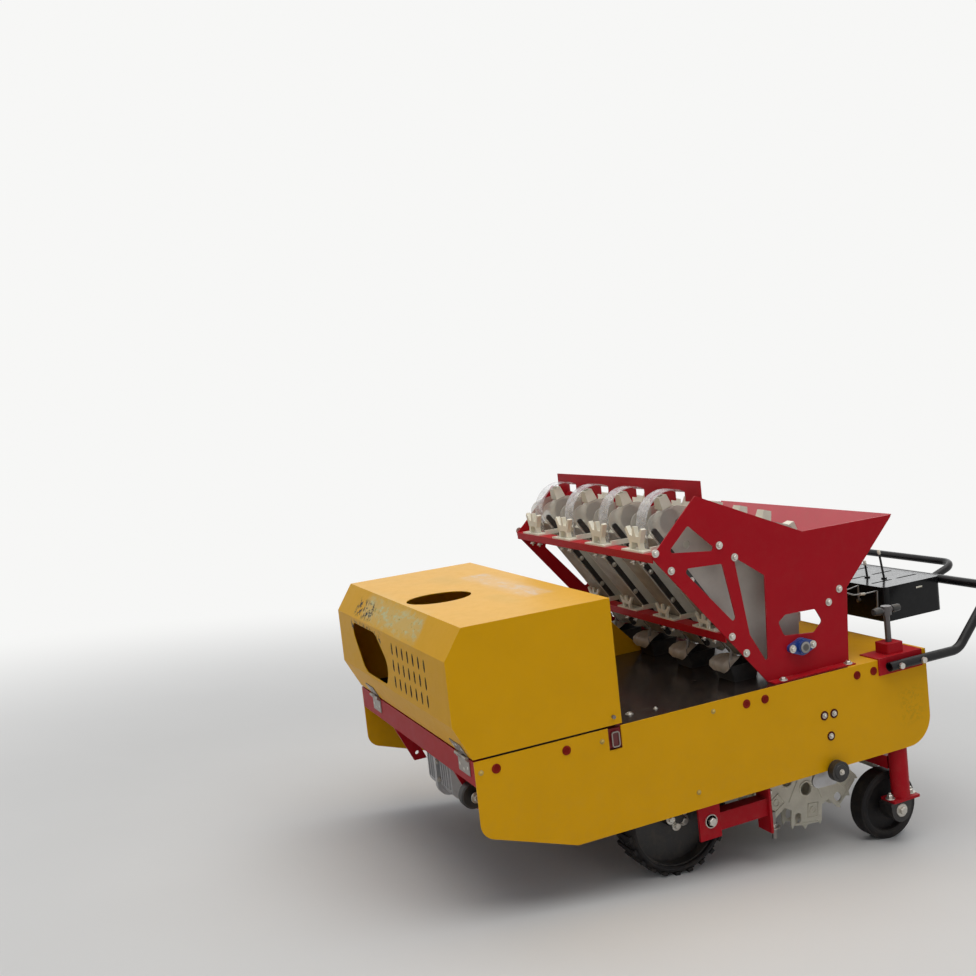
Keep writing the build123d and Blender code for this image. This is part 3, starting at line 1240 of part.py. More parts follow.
# Console: a black tray ahead of the crossbar, open below, with a slotted top
CONSOLE_TOP = 577.0
CONSOLE_SLOTS = (104.0, 110.0)
CONSOLE_SLOT = (84.0, 10.0)
CONSOLE_SLOT_COLUMNS = 2
CONSOLE_SLOT_ROWS = 5
CONSOLE_CORNER_R = 20.0
with BuildPart() as console:
    console_mid = (CONSOLE_X[0] + CONSOLE_X[1]) / 2
    with BuildSketch(Plane.XY.offset(CONSOLE_TOP - CONSOLE_DEPTH)):
        with Locations((console_mid, 0)):
            RectangleRounded(CONSOLE_X[0] - CONSOLE_X[1], 2 * CONSOLE_HALF, CONSOLE_CORNER_R)
    extrude(amount=CONSOLE_DEPTH)
    offset(amount=-CONSOLE_SHEET, openings=console.faces().sort_by(Axis.Z)[0])
    with BuildSketch(Plane.XY.offset(CONSOLE_TOP)):
        with Locations((console_mid, 0)):
            with GridLocations(*CONSOLE_SLOTS, CONSOLE_SLOT_COLUMNS, CONSOLE_SLOT_ROWS):
                SlotOverall(*CONSOLE_SLOT)
    extrude(amount=-CONSOLE_SHEET, mode=Mode.SUBTRACT)
keep("console", console.part)

# Console levers: a rod leaning up from a round foot; columns: X and Y of the foot, then Y and Z of the tip
LEVERS = [(-1585.0, 132.0, 126.0, 622.0), (-1602.0, 190.0, 176.0, 660.0)]
LEVER_FOOT = (9.0, 4.0)
LEVER_R = 3.5
with BuildPart() as console_levers:
    for x, y, tip_y, tip_z in LEVERS:
        with BuildSketch(Plane.XY.offset(CONSOLE_TOP)):
            with Locations((x, y)):
                Circle(LEVER_FOOT[0])
        extrude(amount=LEVER_FOOT[1])
        rod_start = Vector(x, y, CONSOLE_TOP + LEVER_FOOT[1] / 2)
        rod = Vector(x, tip_y, tip_z) - rod_start
        with BuildSketch(Plane(origin=rod_start, z_dir=rod)):
            Circle(LEVER_R)
        extrude(amount=rod.length)
keep("console_levers", console_levers.part)

# Standing position: the level machine turned nose-down onto its wheels, lowest point at Z = 0, and its
# bounding box centred on the origin in X and Y
turned = {name: piece.rotate(Axis.Y, STAND_DEG) for name, piece in pieces.items()}
boxes = [piece.bounding_box() for piece in turned.values()]
front = max(box.max.X for box in boxes)
back = min(box.min.X for box in boxes)
low = min(box.min.Z for box in boxes)
to_ground = Location((-(front + back) / 2, 0, -low))

os.makedirs("parts", exist_ok=True)
for name, piece in turned.items():
    stood = piece.moved(to_ground)
    stood.label = name
    export_step(stood, f"parts/{name}.step")
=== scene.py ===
import math

import bmesh
import bpy
from mathutils import Matrix, Vector


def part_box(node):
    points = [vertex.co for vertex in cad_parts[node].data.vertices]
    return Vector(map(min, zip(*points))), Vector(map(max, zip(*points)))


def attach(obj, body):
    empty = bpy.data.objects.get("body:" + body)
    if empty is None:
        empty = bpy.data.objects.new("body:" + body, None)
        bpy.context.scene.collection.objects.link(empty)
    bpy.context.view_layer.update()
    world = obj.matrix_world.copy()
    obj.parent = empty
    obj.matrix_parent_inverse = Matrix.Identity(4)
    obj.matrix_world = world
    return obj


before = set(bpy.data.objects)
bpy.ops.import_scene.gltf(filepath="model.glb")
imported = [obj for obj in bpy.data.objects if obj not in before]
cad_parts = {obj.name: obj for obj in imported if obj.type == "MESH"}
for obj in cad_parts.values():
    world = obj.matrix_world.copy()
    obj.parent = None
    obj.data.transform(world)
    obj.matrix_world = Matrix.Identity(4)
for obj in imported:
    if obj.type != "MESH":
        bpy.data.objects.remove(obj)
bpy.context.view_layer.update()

# Camera: at eye height off the front left corner, looking along the planter to its handlebar.
# Its place, direction and lens come from the body's straight edges.
CAMERA_SPOT = (1.920, 2.956, 1.202)
CAMERA_WAY = Vector((-0.3994, -0.9161, -0.0392))
LENS_MM = 40.62
SENSOR_MM = 36.0
camera_lens = bpy.data.cameras.new("camera")
camera_lens.sensor_width = SENSOR_MM
camera_lens.lens = LENS_MM
camera = bpy.data.objects.new("camera", camera_lens)
camera.location = CAMERA_SPOT
camera.rotation_euler = CAMERA_WAY.to_track_quat("-Z", "Y").to_euler()
bpy.context.scene.collection.objects.link(camera)
bpy.context.scene.camera = camera
bpy.context.scene.view_settings.view_transform = "Standard"

# Floor and light: a pale studio floor that fades into a white surround, one wide soft lamp overhead
# and two weak ones at the sides. The surround is white only to the eye, in metal and through glass.
FLOOR_RADIUS = 16.0
SURROUND = (0.93, 0.93, 0.92, 1.0)
FLOOR_COLOUR = (0.70, 0.69, 0.67, 1.0)
FLOOR_SPECK = (0.74, 0.73, 0.71, 1.0)
FLOOR_ROUGHNESS = 0.85
SKY_COLOUR = (0.84, 0.90, 1.0, 1.0)
SKY_STRENGTH = 0.26
FADE = (1.4, 5.0)
LAMP_AIM = Vector((0.0, 0.0, 0.45))
# Name, place, size, power and colour of each lamp
LAMPS = [
    ("lamp_overhead", (0.2, 0.5, 4.4), (5.0, 5.0), 168.0, (1.0, 0.99, 0.97)),
    ("lamp_front_left", (3.6, 3.4, 2.4), (2.6, 2.2), 10.0, (1.0, 0.99, 0.97)),
    ("lamp_rear", (-3.8, -2.6, 2.8), (2.6, 2.2), 20.0, (0.96, 0.98, 1.0)),
]


def put(tree, kind, wires=None, **settings):
    """Add a shader node, and set or wire its inputs by their names or numbers."""
    node = tree.nodes.new(kind)
    for name, value in settings.items():
        setattr(node, name, value)
    for key, value in (wires or {}).items():
        if isinstance(value, bpy.types.NodeSocket):
            tree.links.new(value, node.inputs[key])
        else:
            node.inputs[key].default_value = value
    return node


def maths(tree, operation, first, second=0.5, clamp=False):
    """One arithmetic step on two values."""
    wires = {0: first, 1: second}
    return put(tree, "ShaderNodeMath", wires, operation=operation, use_clamp=clamp).outputs[0]


def times(tree, first, second, clamp=False):
    """The product of two values."""
    return maths(tree, "MULTIPLY", first, second, clamp)


def axes(tree, vector):
    """The X, Y and Z of a vector."""
    return put(tree, "ShaderNodeSeparateXYZ", {0: vector}).outputs


def noise(tree, place, scale, detail, roughness=0.5):
    """A cloudy noise, about one half on average."""
    wires = {"Vector": place, "Scale": scale, "Detail": detail, "Roughness": roughness}
    return put(tree, "ShaderNodeTexNoise", wires).outputs["Fac"]


def eased(tree, value, low, high, start=0.0, end=1.0):
    """A value eased from start to end while it goes from low to high."""
    wires = {"Value": value, "From Min": low, "From Max": high, "To Min": start, "To Max": end}
    return put(tree, "ShaderNodeMapRange", wires, interpolation_type="SMOOTHSTEP").outputs["Result"]


def between(tree, mask, first, second):
    """The first colour where the mask is 0 and the second where it is 1."""
    return put(tree, "ShaderNodeMix", {0: mask, 6: first, 7: second}, data_type="RGBA").outputs[2]


def blended(tree, mask, first, second):
    """The first shader where the mask is 0 and the second where it is 1."""
    wires = {0: mask, 1: first.outputs[0], 2: second.outputs[0]}
    return put(tree, "ShaderNodeMixShader", wires).outputs[0]


def seen_directly(tree):
    """A mask of the rays that show the surround: to the eye, in reflections and through glass."""
    path = put(tree, "ShaderNodeLightPath")
    both = maths(tree, "MAXIMUM", path.outputs["Is Camera Ray"], path.outputs["Is Glossy Ray"])
    return maths(tree, "MAXIMUM", both, path.outputs["Is Transmission Ray"])


floor_paint = bpy.data.materials.new("studio_floor")
floor_paint.use_nodes = True
tree = floor_paint.node_tree
tree.nodes.clear()
floor_place = put(tree, "ShaderNodeTexCoord").outputs["Object"]
floor_grain = noise(tree, floor_place, 2.0, 5.0)
floor_tone = between(tree, floor_grain, FLOOR_COLOUR, FLOOR_SPECK)
floor_matt = put(tree, "ShaderNodeBsdfPrincipled", {"Base Color": floor_tone, "Roughness": FLOOR_ROUGHNESS})
far = put(tree, "ShaderNodeVectorMath", {0: floor_place}, operation="LENGTH").outputs["Value"]
fade = times(tree, eased(tree, far, *FADE), seen_directly(tree))
floor_glow = put(tree, "ShaderNodeEmission", {"Color": SURROUND})
put(tree, "ShaderNodeOutputMaterial", {"Surface": blended(tree, fade, floor_matt, floor_glow)})
shape = bmesh.new()
bmesh.ops.create_circle(shape, cap_ends=True, segments=96, radius=FLOOR_RADIUS)
floor_mesh = bpy.data.meshes.new("floor")
shape.to_mesh(floor_mesh)
shape.free()
floor = bpy.data.objects.new("floor", floor_mesh)
floor_mesh.materials.append(floor_paint)
bpy.context.scene.collection.objects.link(floor)

world = bpy.data.worlds.new("studio")
bpy.context.scene.world = world
world.use_nodes = True
tree = world.node_tree
tree.nodes.clear()
sky = put(tree, "ShaderNodeBackground", {"Color": SKY_COLOUR, "Strength": SKY_STRENGTH})
surround = put(tree, "ShaderNodeBackground", {"Color": SURROUND, "Strength": 1.0})
put(tree, "ShaderNodeOutputWorld", {"Surface": blended(tree, seen_directly(tree), sky, surround)})

for name, spot, (wide, deep), power, colour in LAMPS:
    light = bpy.data.lights.new(name, "AREA")
    light.shape = "RECTANGLE"
    light.size, light.size_y = wide, deep
    light.energy = power
    light.color = colour
    lamp = bpy.data.objects.new(name, light)
    lamp.location = spot
    lamp.rotation_euler = (LAMP_AIM - Vector(spot)).to_track_quat("-Z", "Y").to_euler()
    bpy.context.scene.collection.objects.link(lamp)

# Side panels: one sheet of steel a side, three millimetres thick, brushed over with thick yellow enamel.
# Round red plugs fill the holes over the frame's bolts, three bolts hold the planting shaft's hanger,
# and small painted bolts hold the sheet to the rails. Sizes are in metres on the level machine.
TILT = math.radians(6.862287158303131)
PANEL_TOP = 0.417
PANEL_LONG = 1.480
PANEL_FACE = 0.470
RING_FLOOR = 0.0010
PLUG_XS = [-0.058, -0.257, -0.822, -0.885, -1.215, -1.277]
PLUG_Z = 0.388
RINGED_BOLTS = [(-1.085, 0.296), (-1.120, 0.295), (-1.103, 0.232)]
PAINTED_BOLTS = [(-0.016, 0.387), (-0.362, 0.387), (-0.711, 0.391), (-0.641, 0.180), (-1.332, 0.389)]
YELLOW = (0.80, 0.405, 0.003, 1.0)
# Pale yellow on the worn edges: worn paint, and also a painted highlight along the folds
WORN_HIGHLIT_YELLOW = (0.84, 0.56, 0.10, 1.0)
DUST = (0.30, 0.23, 0.16, 1.0)
ENAMEL = {
    "dust": 0.10,
    "mottle": 0.10,
    "edge": 0.6,
    "grain": 120.0,
    "relief": 0.08,
    "Specular_IOR_Level": 0.10,
}
# A splash of mud near the left panel's rear end: the corners of its box, and its colour
SPLASH = ((-1.455, 0.460, 0.205), (-1.370, 0.480, 0.310))
SPLASH_BROWN = (0.50, 0.30, 0.01, 1.0)
# Noises of the age group: scale, detail and roughness
BROAD = (9.0, 5.0)
CLOUD = (34.0, 9.0, 0.68)
SPECK = (210.0, 3.0)
GRAIN_DETAIL = 2.0
DARKER = 0.62
WORN_EDGE = 0.0020
BUMP_DEPTH = 0.001
SAME_SPOT = 0.00002

# The whole machine stands nose-down on its wheels: this turns a level place to the standing one.
panel_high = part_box("side_panel_left")[1]
lift = panel_high.z - (math.sin(TILT) * PANEL_LONG + math.cos(TILT) * PANEL_TOP)
shift = panel_high.x - math.sin(TILT) * PANEL_TOP
standing = Matrix.Translation((shift, 0.0, lift)) @ Matrix.Rotation(TILT, 4, "Y")
level = Matrix.Rotation(-TILT, 4, "Y") @ Matrix.Translation((-shift, 0.0, -lift))


def weather_group():
    """Age on any surface: uneven tone, dust that settles on top and low down, and a fine grain."""
    group = bpy.data.node_groups.new("weather", "ShaderNodeTree")
    face = group.interface
    for name, kind, value in [
        ("Colour", "NodeSocketColor", (0.5, 0.5, 0.5, 1.0)),
        ("Worn Colour", "NodeSocketColor", (0.3, 0.3, 0.3, 1.0)),
        ("Dust Colour", "NodeSocketColor", DUST),
        ("Mottle", "NodeSocketFloat", 0.2),
        ("Dust", "NodeSocketFloat", 0.3),
        ("Edge Wear", "NodeSocketFloat", 0.3),
        ("Roughness", "NodeSocketFloat", 0.4),
        ("Grain Scale", "NodeSocketFloat", 300.0),
    ]:
        face.new_socket(name, in_out="INPUT", socket_type=kind).default_value = value
    face.new_socket("Colour", in_out="OUTPUT", socket_type="NodeSocketColor")
    for name in ("Roughness", "Height"):
        face.new_socket(name, in_out="OUTPUT", socket_type="NodeSocketFloat")
    given = put(group, "NodeGroupInput").outputs
    place = put(group, "ShaderNodeTexCoord").outputs["Object"]
    surface = put(group, "ShaderNodeNewGeometry")
    up = axes(group, surface.outputs["Normal"])["Z"]
    height = axes(group, place)["Z"]
    broad = noise(group, place, *BROAD)
    cloud = noise(group, place, *CLOUD)
    speck = noise(group, place, *SPECK)
    grain = noise(group, place, given["Grain Scale"], GRAIN_DETAIL)
    darker = {0: given["Colour"], "Scale": DARKER}
    dark = put(group, "ShaderNodeVectorMath", darker, operation="SCALE").outputs[0]
    uneven = times(group, eased(group, broad, 0.30, 0.72), given["Mottle"])
    tone = between(group, uneven, given["Colour"], dark)
    settled = times(group, eased(group, up, 0.1, 0.9), 0.55)
    low_down = eased(group, height, 0.05, 0.50, 0.75, 0.25)
    lying = maths(group, "ADD", settled, low_down)
    film = times(group, eased(group, cloud, 0.40, 0.76), lying)
    grit = times(group, times(group, eased(group, speck, 0.58, 0.72), 0.8), lying)
    dusty = times(group, maths(group, "MAXIMUM", film, grit), given["Dust"], True)
    soft_edge = put(group, "ShaderNodeBevel", {"Radius": WORN_EDGE}, samples=4).outputs["Normal"]
    both = {0: soft_edge, 1: surface.outputs["Normal"]}
    turn = put(group, "ShaderNodeVectorMath", both, operation="DOT_PRODUCT").outputs["Value"]
    rubbed = times(group, eased(group, turn, 0.99, 0.90), eased(group, cloud, 0.46, 0.60))
    rubbed = times(group, rubbed, given["Edge Wear"], True)
    worn = between(group, rubbed, tone, given["Worn Colour"])
    colour = between(group, dusty, worn, given["Dust Colour"])
    unevenness = times(group, maths(group, "SUBTRACT", cloud, 0.5), 0.22)
    rough = maths(group, "ADD", given["Roughness"], unevenness)
    rough = maths(group, "ADD", rough, times(group, dusty, 0.45), True)
    relief = maths(group, "ADD", grain, times(group, dusty, 0.6))
    put(group, "NodeGroupOutput", {"Colour": colour, "Roughness": rough, "Height": relief})
    return group


weather = weather_group()


def finish(
    name, colour, roughness, worn=None, dust=0.3, mottle=0.2, edge=0.3, grain=300.0, relief=0.15,
    dust_colour=DUST, **shader,
):
    """A material aged by the weather group; shader holds the Principled sockets that stay constant."""
    material = bpy.data.materials.new(name)
    material.use_nodes = True
    tree = material.node_tree
    tree.nodes.clear()
    aged = put(tree, "ShaderNodeGroup", node_tree=weather)
    aged.name = "aged"
    age = {
        "Colour": colour,
        "Worn Colour": worn or colour,
        "Dust Colour": dust_colour,
        "Mottle": mottle,
        "Dust": dust,
        "Edge Wear": edge,
        "Roughness": roughness,
        "Grain Scale": grain,
    }
    for key, value in age.items():
        aged.inputs[key].default_value = value
    raised = {"Height": aged.outputs["Height"], "Strength": relief, "Distance": BUMP_DEPTH}
    wires = {
        "Base Color": aged.outputs["Colour"],
        "Roughness": aged.outputs["Roughness"],
        "Normal": put(tree, "ShaderNodeBump", raised).outputs[0],
    }
    principled = put(tree, "ShaderNodeBsdfPrincipled", wires)
    principled.name = "surface"
    for key, value in shader.items():
        principled.inputs[key.replace("_", " ")].default_value = value
    put(tree, "ShaderNodeOutputMaterial", {"Surface": principled.outputs[0]})
    return material


def dress(material, *names):
    """Give CAD nodes their finish."""
    for name in names:
        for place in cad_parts[name].material_slots:
            place.material = material


def repaint(tree, mask, first, second):
    """Give the age group the first colour where the mask is 0 and the second where it is 1."""
    tree.links.new(between(tree, mask, first, second), tree.nodes["aged"].inputs["Colour"])


def feed(tree, socket, value):
    """Wire a value to a socket of the material's own shader."""
    tree.links.new(value, tree.nodes["surface"].inputs[socket])


def level_place(tree, stretch=(1.0, 1.0, 1.0)):
    """Where a point lies on the level machine, stretched along its axes for streaks."""
    place = put(tree, "ShaderNodeTexCoord").outputs["Object"]
    wires = {"Vector": place, "Location": level.to_translation(), "Rotation": level.to_euler()}
    straight = put(tree, "ShaderNodeMapping", wires).outputs[0]
    return put(tree, "ShaderNodeVectorMath", {0: straight, 1: stretch}, operation="MULTIPLY").outputs[0]


def patch(tree, low, high, soft):
    """A mask that is 1 inside a level box and fades out at its sides."""
    mask = 1.0
    for value, start, end in zip(axes(tree, level_place(tree)), low, high):
        mask = times(tree, eased(tree, value, start - soft, start + soft), mask)
        mask = times(tree, eased(tree, value, end + soft, end - soft), mask)
    return mask


def both_patches(tree, low, high, soft):
    """A patch on the left side, and its mirror image on the right."""
    right_low, right_high = (low[0], -high[1], low[2]), (high[0], -low[1], high[2])
    return maths(tree, "MAXIMUM", patch(tree, right_low, right_high, soft), patch(tree, low, high, soft))


def flakes(tree, scale, low, high, stretch=(1.0, 1.0, 1.0)):
    """Ragged spots, from a cloudy noise cut off sharply."""
    return eased(tree, noise(tree, level_place(tree, stretch), scale, 9.0, 0.7), low, high)


def facing(point, way):
    """A place at a point where a shape's own Z axis looks along a way."""
    return Matrix.Translation(point) @ Vector(way).to_track_quat("Z", "Y").to_matrix().to_4x4()


def turned(profile, steps=24):
    """A shape turned in a lathe: radius and height of each point, bottom to top."""
    shape = bmesh.new()
    points = [shape.verts.new((radius, 0.0, height)) for radius, height in profile]
    line = [shape.edges.new(pair) for pair in zip(points, points[1:])]
    turning = {"axis": (0, 0, 1), "cent": (0, 0, 0), "angle": math.tau, "steps": steps, "use_merge": True}
    bmesh.ops.spin(shape, geom=points + line, **turning)
    bmesh.ops.remove_doubles(shape, verts=shape.verts, dist=SAME_SPOT)
    return shape


def joined(*shapes):
    """Several shapes as one mesh."""
    whole = bmesh.new()
    carrier = bpy.data.meshes.new("carrier")
    for shape in shapes:
        shape.to_mesh(carrier)
        whole.from_mesh(carrier)
        shape.free()
    bpy.data.meshes.remove(carrier)
    return whole


def set_out(pattern, places):
    """Copies of one small shape in a single mesh, one at each place."""
    copies = [pattern.copy() for _ in places]
    for copy, place in zip(copies, places):
        copy.transform(place)
    pattern.free()
    return joined(*copies)


def fit(name, shape, material, body, angle=32.0):
    """Stand a level shape up with the machine, and fix it to the body that carries it."""
    shape.transform(standing)
    bmesh.ops.recalc_face_normals(shape, faces=shape.faces)
    mesh = bpy.data.meshes.new(name)
    shape.to_mesh(mesh)
    shape.free()
    mesh.materials.append(material)
    mesh.shade_smooth()
    mesh.set_sharp_from_angle(angle=math.radians(angle))
    piece = bpy.data.objects.new(name, mesh)
    bpy.context.scene.collection.objects.link(piece)
    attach(piece, body)


def hexagon_bolt(flats, high, washer):
    """A hexagon bolt head with chamfered corners, on its washer."""
    shape = bmesh.new()
    corner = flats / math.sqrt(3)
    bmesh.ops.create_cone(shape, cap_ends=True, segments=6, radius1=corner, radius2=corner, depth=high)
    bmesh.ops.translate(shape, vec=(0, 0, washer + high / 2), verts=shape.verts)
    top = [edge for edge in shape.edges if min(vert.co.z for vert in edge.verts) > washer + high / 2]
    bmesh.ops.bevel(shape, geom=top, offset=high * 0.18, affect="EDGES", segments=1, profile=0.5, material=-1)
    base = bmesh.new()
    radii = {"radius1": flats * 0.92, "radius2": flats * 0.88}
    bmesh.ops.create_cone(base, cap_ends=True, segments=20, depth=washer, **radii)
    bmesh.ops.translate(base, vec=(0, 0, washer / 2), verts=base.verts)
    return joined(shape, base)


def both_sides(points, face):
    """Places on both outer faces of the machine for points given as x and z."""
    return [facing((x, side * face, z), (0, side, 0)) for side in (1, -1) for x, z in points]


def mirrored(spots):
    """Upright places for spots on the left side, and for their mirror images on the right."""
    return [Matrix.Translation((x, side * y, z)) for side in (1, -1) for x, y, z in spots]


def around(count):
    """The turns of so many equal steps round a circle."""
    return [math.tau * i / count for i in range(count)]


zinc = finish(
    "zinc_plate", (0.60, 0.58, 0.53, 1.0), 0.34, worn=(0.30, 0.22, 0.15, 1.0),
    dust=0.35, mottle=0.35, edge=0.4, grain=600.0, Metallic=0.8,
)


def fasten(name, pattern, places, body="chassis"):
    """Zinc-plated fasteners of one shape, one at each place."""
    fit(name, set_out(pattern, places), zinc, body)


yellow_enamel = finish("yellow_enamel", YELLOW, 0.42, worn=WORN_HIGHLIT_YELLOW, **ENAMEL)
tree = yellow_enamel.node_tree
splashed = times(tree, patch(tree, *SPLASH, 0.02), flakes(tree, 110.0, 0.50, 0.56))
repaint(tree, times(tree, splashed, 0.5), YELLOW, SPLASH_BROWN)
dress(yellow_enamel, "side_panel_left", "side_panel_right", "rear_deck", "chain_guard")

# The plugs' orange-red worn colour on their rims is a painted highlight
plug_red = finish(
    "plug_red", (0.22, 0.006, 0.003, 1.0), 0.42, worn=(0.50, 0.05, 0.01, 1.0),
    dust=0.06, mottle=0.45, edge=1.0, grain=500.0, Specular_IOR_Level=0.1,
)
plug_profile = [
    (0, 0), (0.0125, 0), (0.0125, 0.0012), (0.0112, 0.0024), (0.0088, 0.0024), (0.0074, 0.0012), (0, 0.0018),
]
plug_places = both_sides([(x, PLUG_Z) for x in PLUG_XS], PANEL_FACE)
fit("panel_plugs", set_out(turned(plug_profile, 28), plug_places), plug_red, "chassis")

hanger_bolt = hexagon_bolt(0.0095, 0.0055, 0.0012)
fasten("hanger_bolts", hanger_bolt, both_sides(RINGED_BOLTS, PANEL_FACE + RING_FLOOR))
ring_profile = [
    (0, 0), (0.0135, 0), (0.0135, 0.0014), (0.0125, 0.0020), (0.0098, 0.0020), (0.0090, 0.0011), (0, 0.0011),
]
ring_red = finish(
    "ring_red", (0.06, 0.005, 0.004, 1.0), 0.45, worn=(0.30, 0.04, 0.02, 1.0),
    dust=0.06, mottle=0.30, edge=0.6, grain=500.0, Specular_IOR_Level=0.1,
)
rings = set_out(turned(ring_profile, 28), both_sides(RINGED_BOLTS, PANEL_FACE))
fit("hanger_bolt_rings", rings, ring_red, "chassis")

bolt_profile = [
    (0, 0), (0.0070, 0), (0.0070, 0.0010), (0.0054, 0.0012), (0.0050, 0.0030), (0.0032, 0.0044), (0, 0.0048),
]
gold_zinc = finish(
    "gold_zinc", (0.50, 0.36, 0.10, 1.0), 0.30, worn=(0.45, 0.40, 0.30, 1.0),
    dust=0.3, mottle=0.3, edge=0.4, grain=600.0, Metallic=0.8,
)
panel_bolts = set_out(turned(bolt_profile, 20), both_sides(PAINTED_BOLTS, PANEL_FACE))
fit("panel_bolts", panel_bolts, gold_zinc, "chassis")

# Frame and front beam: square tube and folded channel in thick red enamel, dusty where it shows below.
# The lower leaves of the hood's hinges are held to the beam by three countersunk screws each.
HINGE_YS = (0.405, -0.310)
LEAF_FACE = 0.0025
SCREW_PROFILE = [(0, 0), (0.0046, 0), (0.0046, 0.0004), (0.0030, 0.0015), (0.0010, 0.0010), (0, 0.0010)]
# Each screw of a leaf: its step to the side and its height
LOWER_SCREWS = [(-0.026, 0.392), (0, 0.384), (0.026, 0.392)]
RED = (0.44, 0.0075, 0.016, 1.0)
RED_ENAMEL = {**ENAMEL, "worn": (0.55, 0.13, 0.13, 1.0), "dust": 0.12, "mottle": 0.12, "edge": 0.7}
red_enamel = finish("red_enamel", RED, 0.40, **RED_ENAMEL)
frame_red = finish(
    "frame_red", (0.20, 0.006, 0.010, 1.0), 0.50, worn=(0.28, 0.05, 0.04, 1.0),
    dust=0.45, mottle=0.35, edge=0.5, Specular_IOR_Level=0.3,
)
dress(frame_red, "main_frame")
dress(red_enamel, "front_beam", "planting_arms", "rear_posts", "seed_bars")
lower_spots = [(LEAF_FACE, y + step, z) for y in HINGE_YS for step, z in LOWER_SCREWS]
fasten("hinge_screws", turned(SCREW_PROFILE, 16), [facing(spot, (1, 0, 0)) for spot in lower_spots])

# Hood: one folded steel sheet in the same yellow, hinged along its front edge. Two stuck-on sheets were
# pulled off its top and its sloping front edge: they left pale scuffs, and black flakes by the opening.
HOOD_CORNER = Vector((0.001, 0.0, 0.423))
HOOD_STRIP = math.atan2(0.046, 0.092)
# Each screw of an upper leaf: its step to the side and how far up the hood's front strip
UPPER_SCREWS = [(-0.026, 0.024), (0, 0.032), (0.026, 0.024)]
PALE_SCUFF = (0.66, 0.62, 0.62, 1.0)
GREEN_SCUFF = (0.62, 0.58, 0.30, 1.0)
OLIVE = (0.30, 0.25, 0.02, 1.0)
SOOT = (0.02, 0.018, 0.015, 1.0)
# Painted shade in and round the hood's slots
SLOT_SHADE_COLOUR = (0.020, 0.006, 0.004, 1.0)
# Boxes round the stains, as two corners each
TOP_SCUFF = ((-0.365, -0.215, 0.750), (-0.290, 0.255, 0.770))
EDGE_SCUFF = ((-0.020, -0.24, 0.690), (0.060, 0.24, 0.748))
OLIVE_STAINS = [
    ((-0.275, -0.30, 0.750), (-0.205, -0.12, 0.770)),
    ((-0.255, 0.14, 0.750), (-0.215, 0.30, 0.770)),
]
SOOT_ABOVE = ((0.010, -0.31, 0.690), (0.060, -0.15, 0.735))
SOOT_BELOW = ((0.040, -0.33, 0.640), (0.060, -0.04, 0.672))
SLOT_FIELD = ((0.0400, 0.035, 0.524), (0.0480, 0.335, 0.666))
# Sideways and upward: the middle and pitch of the hood's slots, and half the size of the painted shade round
# each
SLOT_MIDDLE = (0.185, 0.595)
SLOT_PITCH = (0.043, 0.047)
SLOT_SHADE_HALF = (0.0062, 0.0175)
hood_enamel = finish("hood_enamel", YELLOW, 0.42, worn=WORN_HIGHLIT_YELLOW, **ENAMEL, Coat_Roughness=0.30)
tree = hood_enamel.node_tree
top_mask = patch(tree, *TOP_SCUFF, 0.022)
top_streaks = maths(tree, "MAXIMUM", flakes(tree, 34.0, 0.34, 0.70, (1.0, 0.35, 1.0)), 0.30)
edge_mask = patch(tree, *EDGE_SCUFF, 0.022)
edge_wash = maths(tree, "MAXIMUM", flakes(tree, 30.0, 0.42, 0.62, (2.5, 0.8, 1.0)), 0.40)
olive_mask = maths(tree, "ADD", *[patch(tree, *stain, 0.035) for stain in OLIVE_STAINS])
soot_mask = maths(tree, "MAXIMUM", patch(tree, *SOOT_ABOVE, 0.010), patch(tree, *SOOT_BELOW, 0.008))
paint = between(tree, times(tree, olive_mask, 0.30), YELLOW, OLIVE)
paint = between(tree, times(tree, top_mask, top_streaks), paint, PALE_SCUFF)
paint = between(tree, times(tree, edge_mask, edge_wash), paint, GREEN_SCUFF)
paint = between(tree, times(tree, edge_mask, flakes(tree, 70.0, 0.60, 0.66)), paint, OLIVE)
paint = between(tree, times(tree, soot_mask, flakes(tree, 55.0, 0.51, 0.55)), paint, SOOT)
# The slots' walls and a rim round each slot are darkened: painted shade, which makes the slots look wider and
# deeper
lens = 0.0
for axis, middle, pitch, half in zip(("Y", "Z"), SLOT_MIDDLE, SLOT_PITCH, SLOT_SHADE_HALF):
    from_middle = maths(tree, "SUBTRACT", axes(tree, level_place(tree))[axis], middle)
    from_slot = maths(tree, "DIVIDE", maths(tree, "PINGPONG", from_middle, pitch / 2), half)
    lens = maths(tree, "ADD", maths(tree, "POWER", from_slot, 2.0), lens)
slot_shade_mask = times(tree, eased(tree, lens, 1.15, 0.90), patch(tree, *SLOT_FIELD, 0.0005))
repaint(tree, slot_shade_mask, paint, SLOT_SHADE_COLOUR)
upward = axes(tree, put(tree, "ShaderNodeNewGeometry").outputs["Normal"])["Z"]
feed(tree, "Coat Weight", eased(tree, upward, 0.60, 0.95, 0.0, 0.40))
dress(hood_enamel, "hood")
hinge_steel = finish(
    "hinge_steel", (0.24, 0.21, 0.19, 1.0), 0.40, worn=(0.55, 0.50, 0.42, 1.0),
    dust=0.35, mottle=0.6, edge=0.6, Metallic=0.7,
)
dress(hinge_steel, "hood_hardware")
dress(zinc, "tie_bar")

strip_up = Vector((math.sin(HOOD_STRIP), 0, math.cos(HOOD_STRIP)))
strip_out = Vector((math.cos(HOOD_STRIP), 0, -math.sin(HOOD_STRIP)))
upper_spots = [
    HOOD_CORNER + Vector((0, y + step, 0)) + strip_up * rise + strip_out * LEAF_FACE
    for y in HINGE_YS for step, rise in UPPER_SCREWS
]
upper_places = [facing(spot, strip_out) for spot in upper_spots]
fasten("hood_leaf_screws", turned(SCREW_PROFILE, 16), upper_places, "hood_lid")

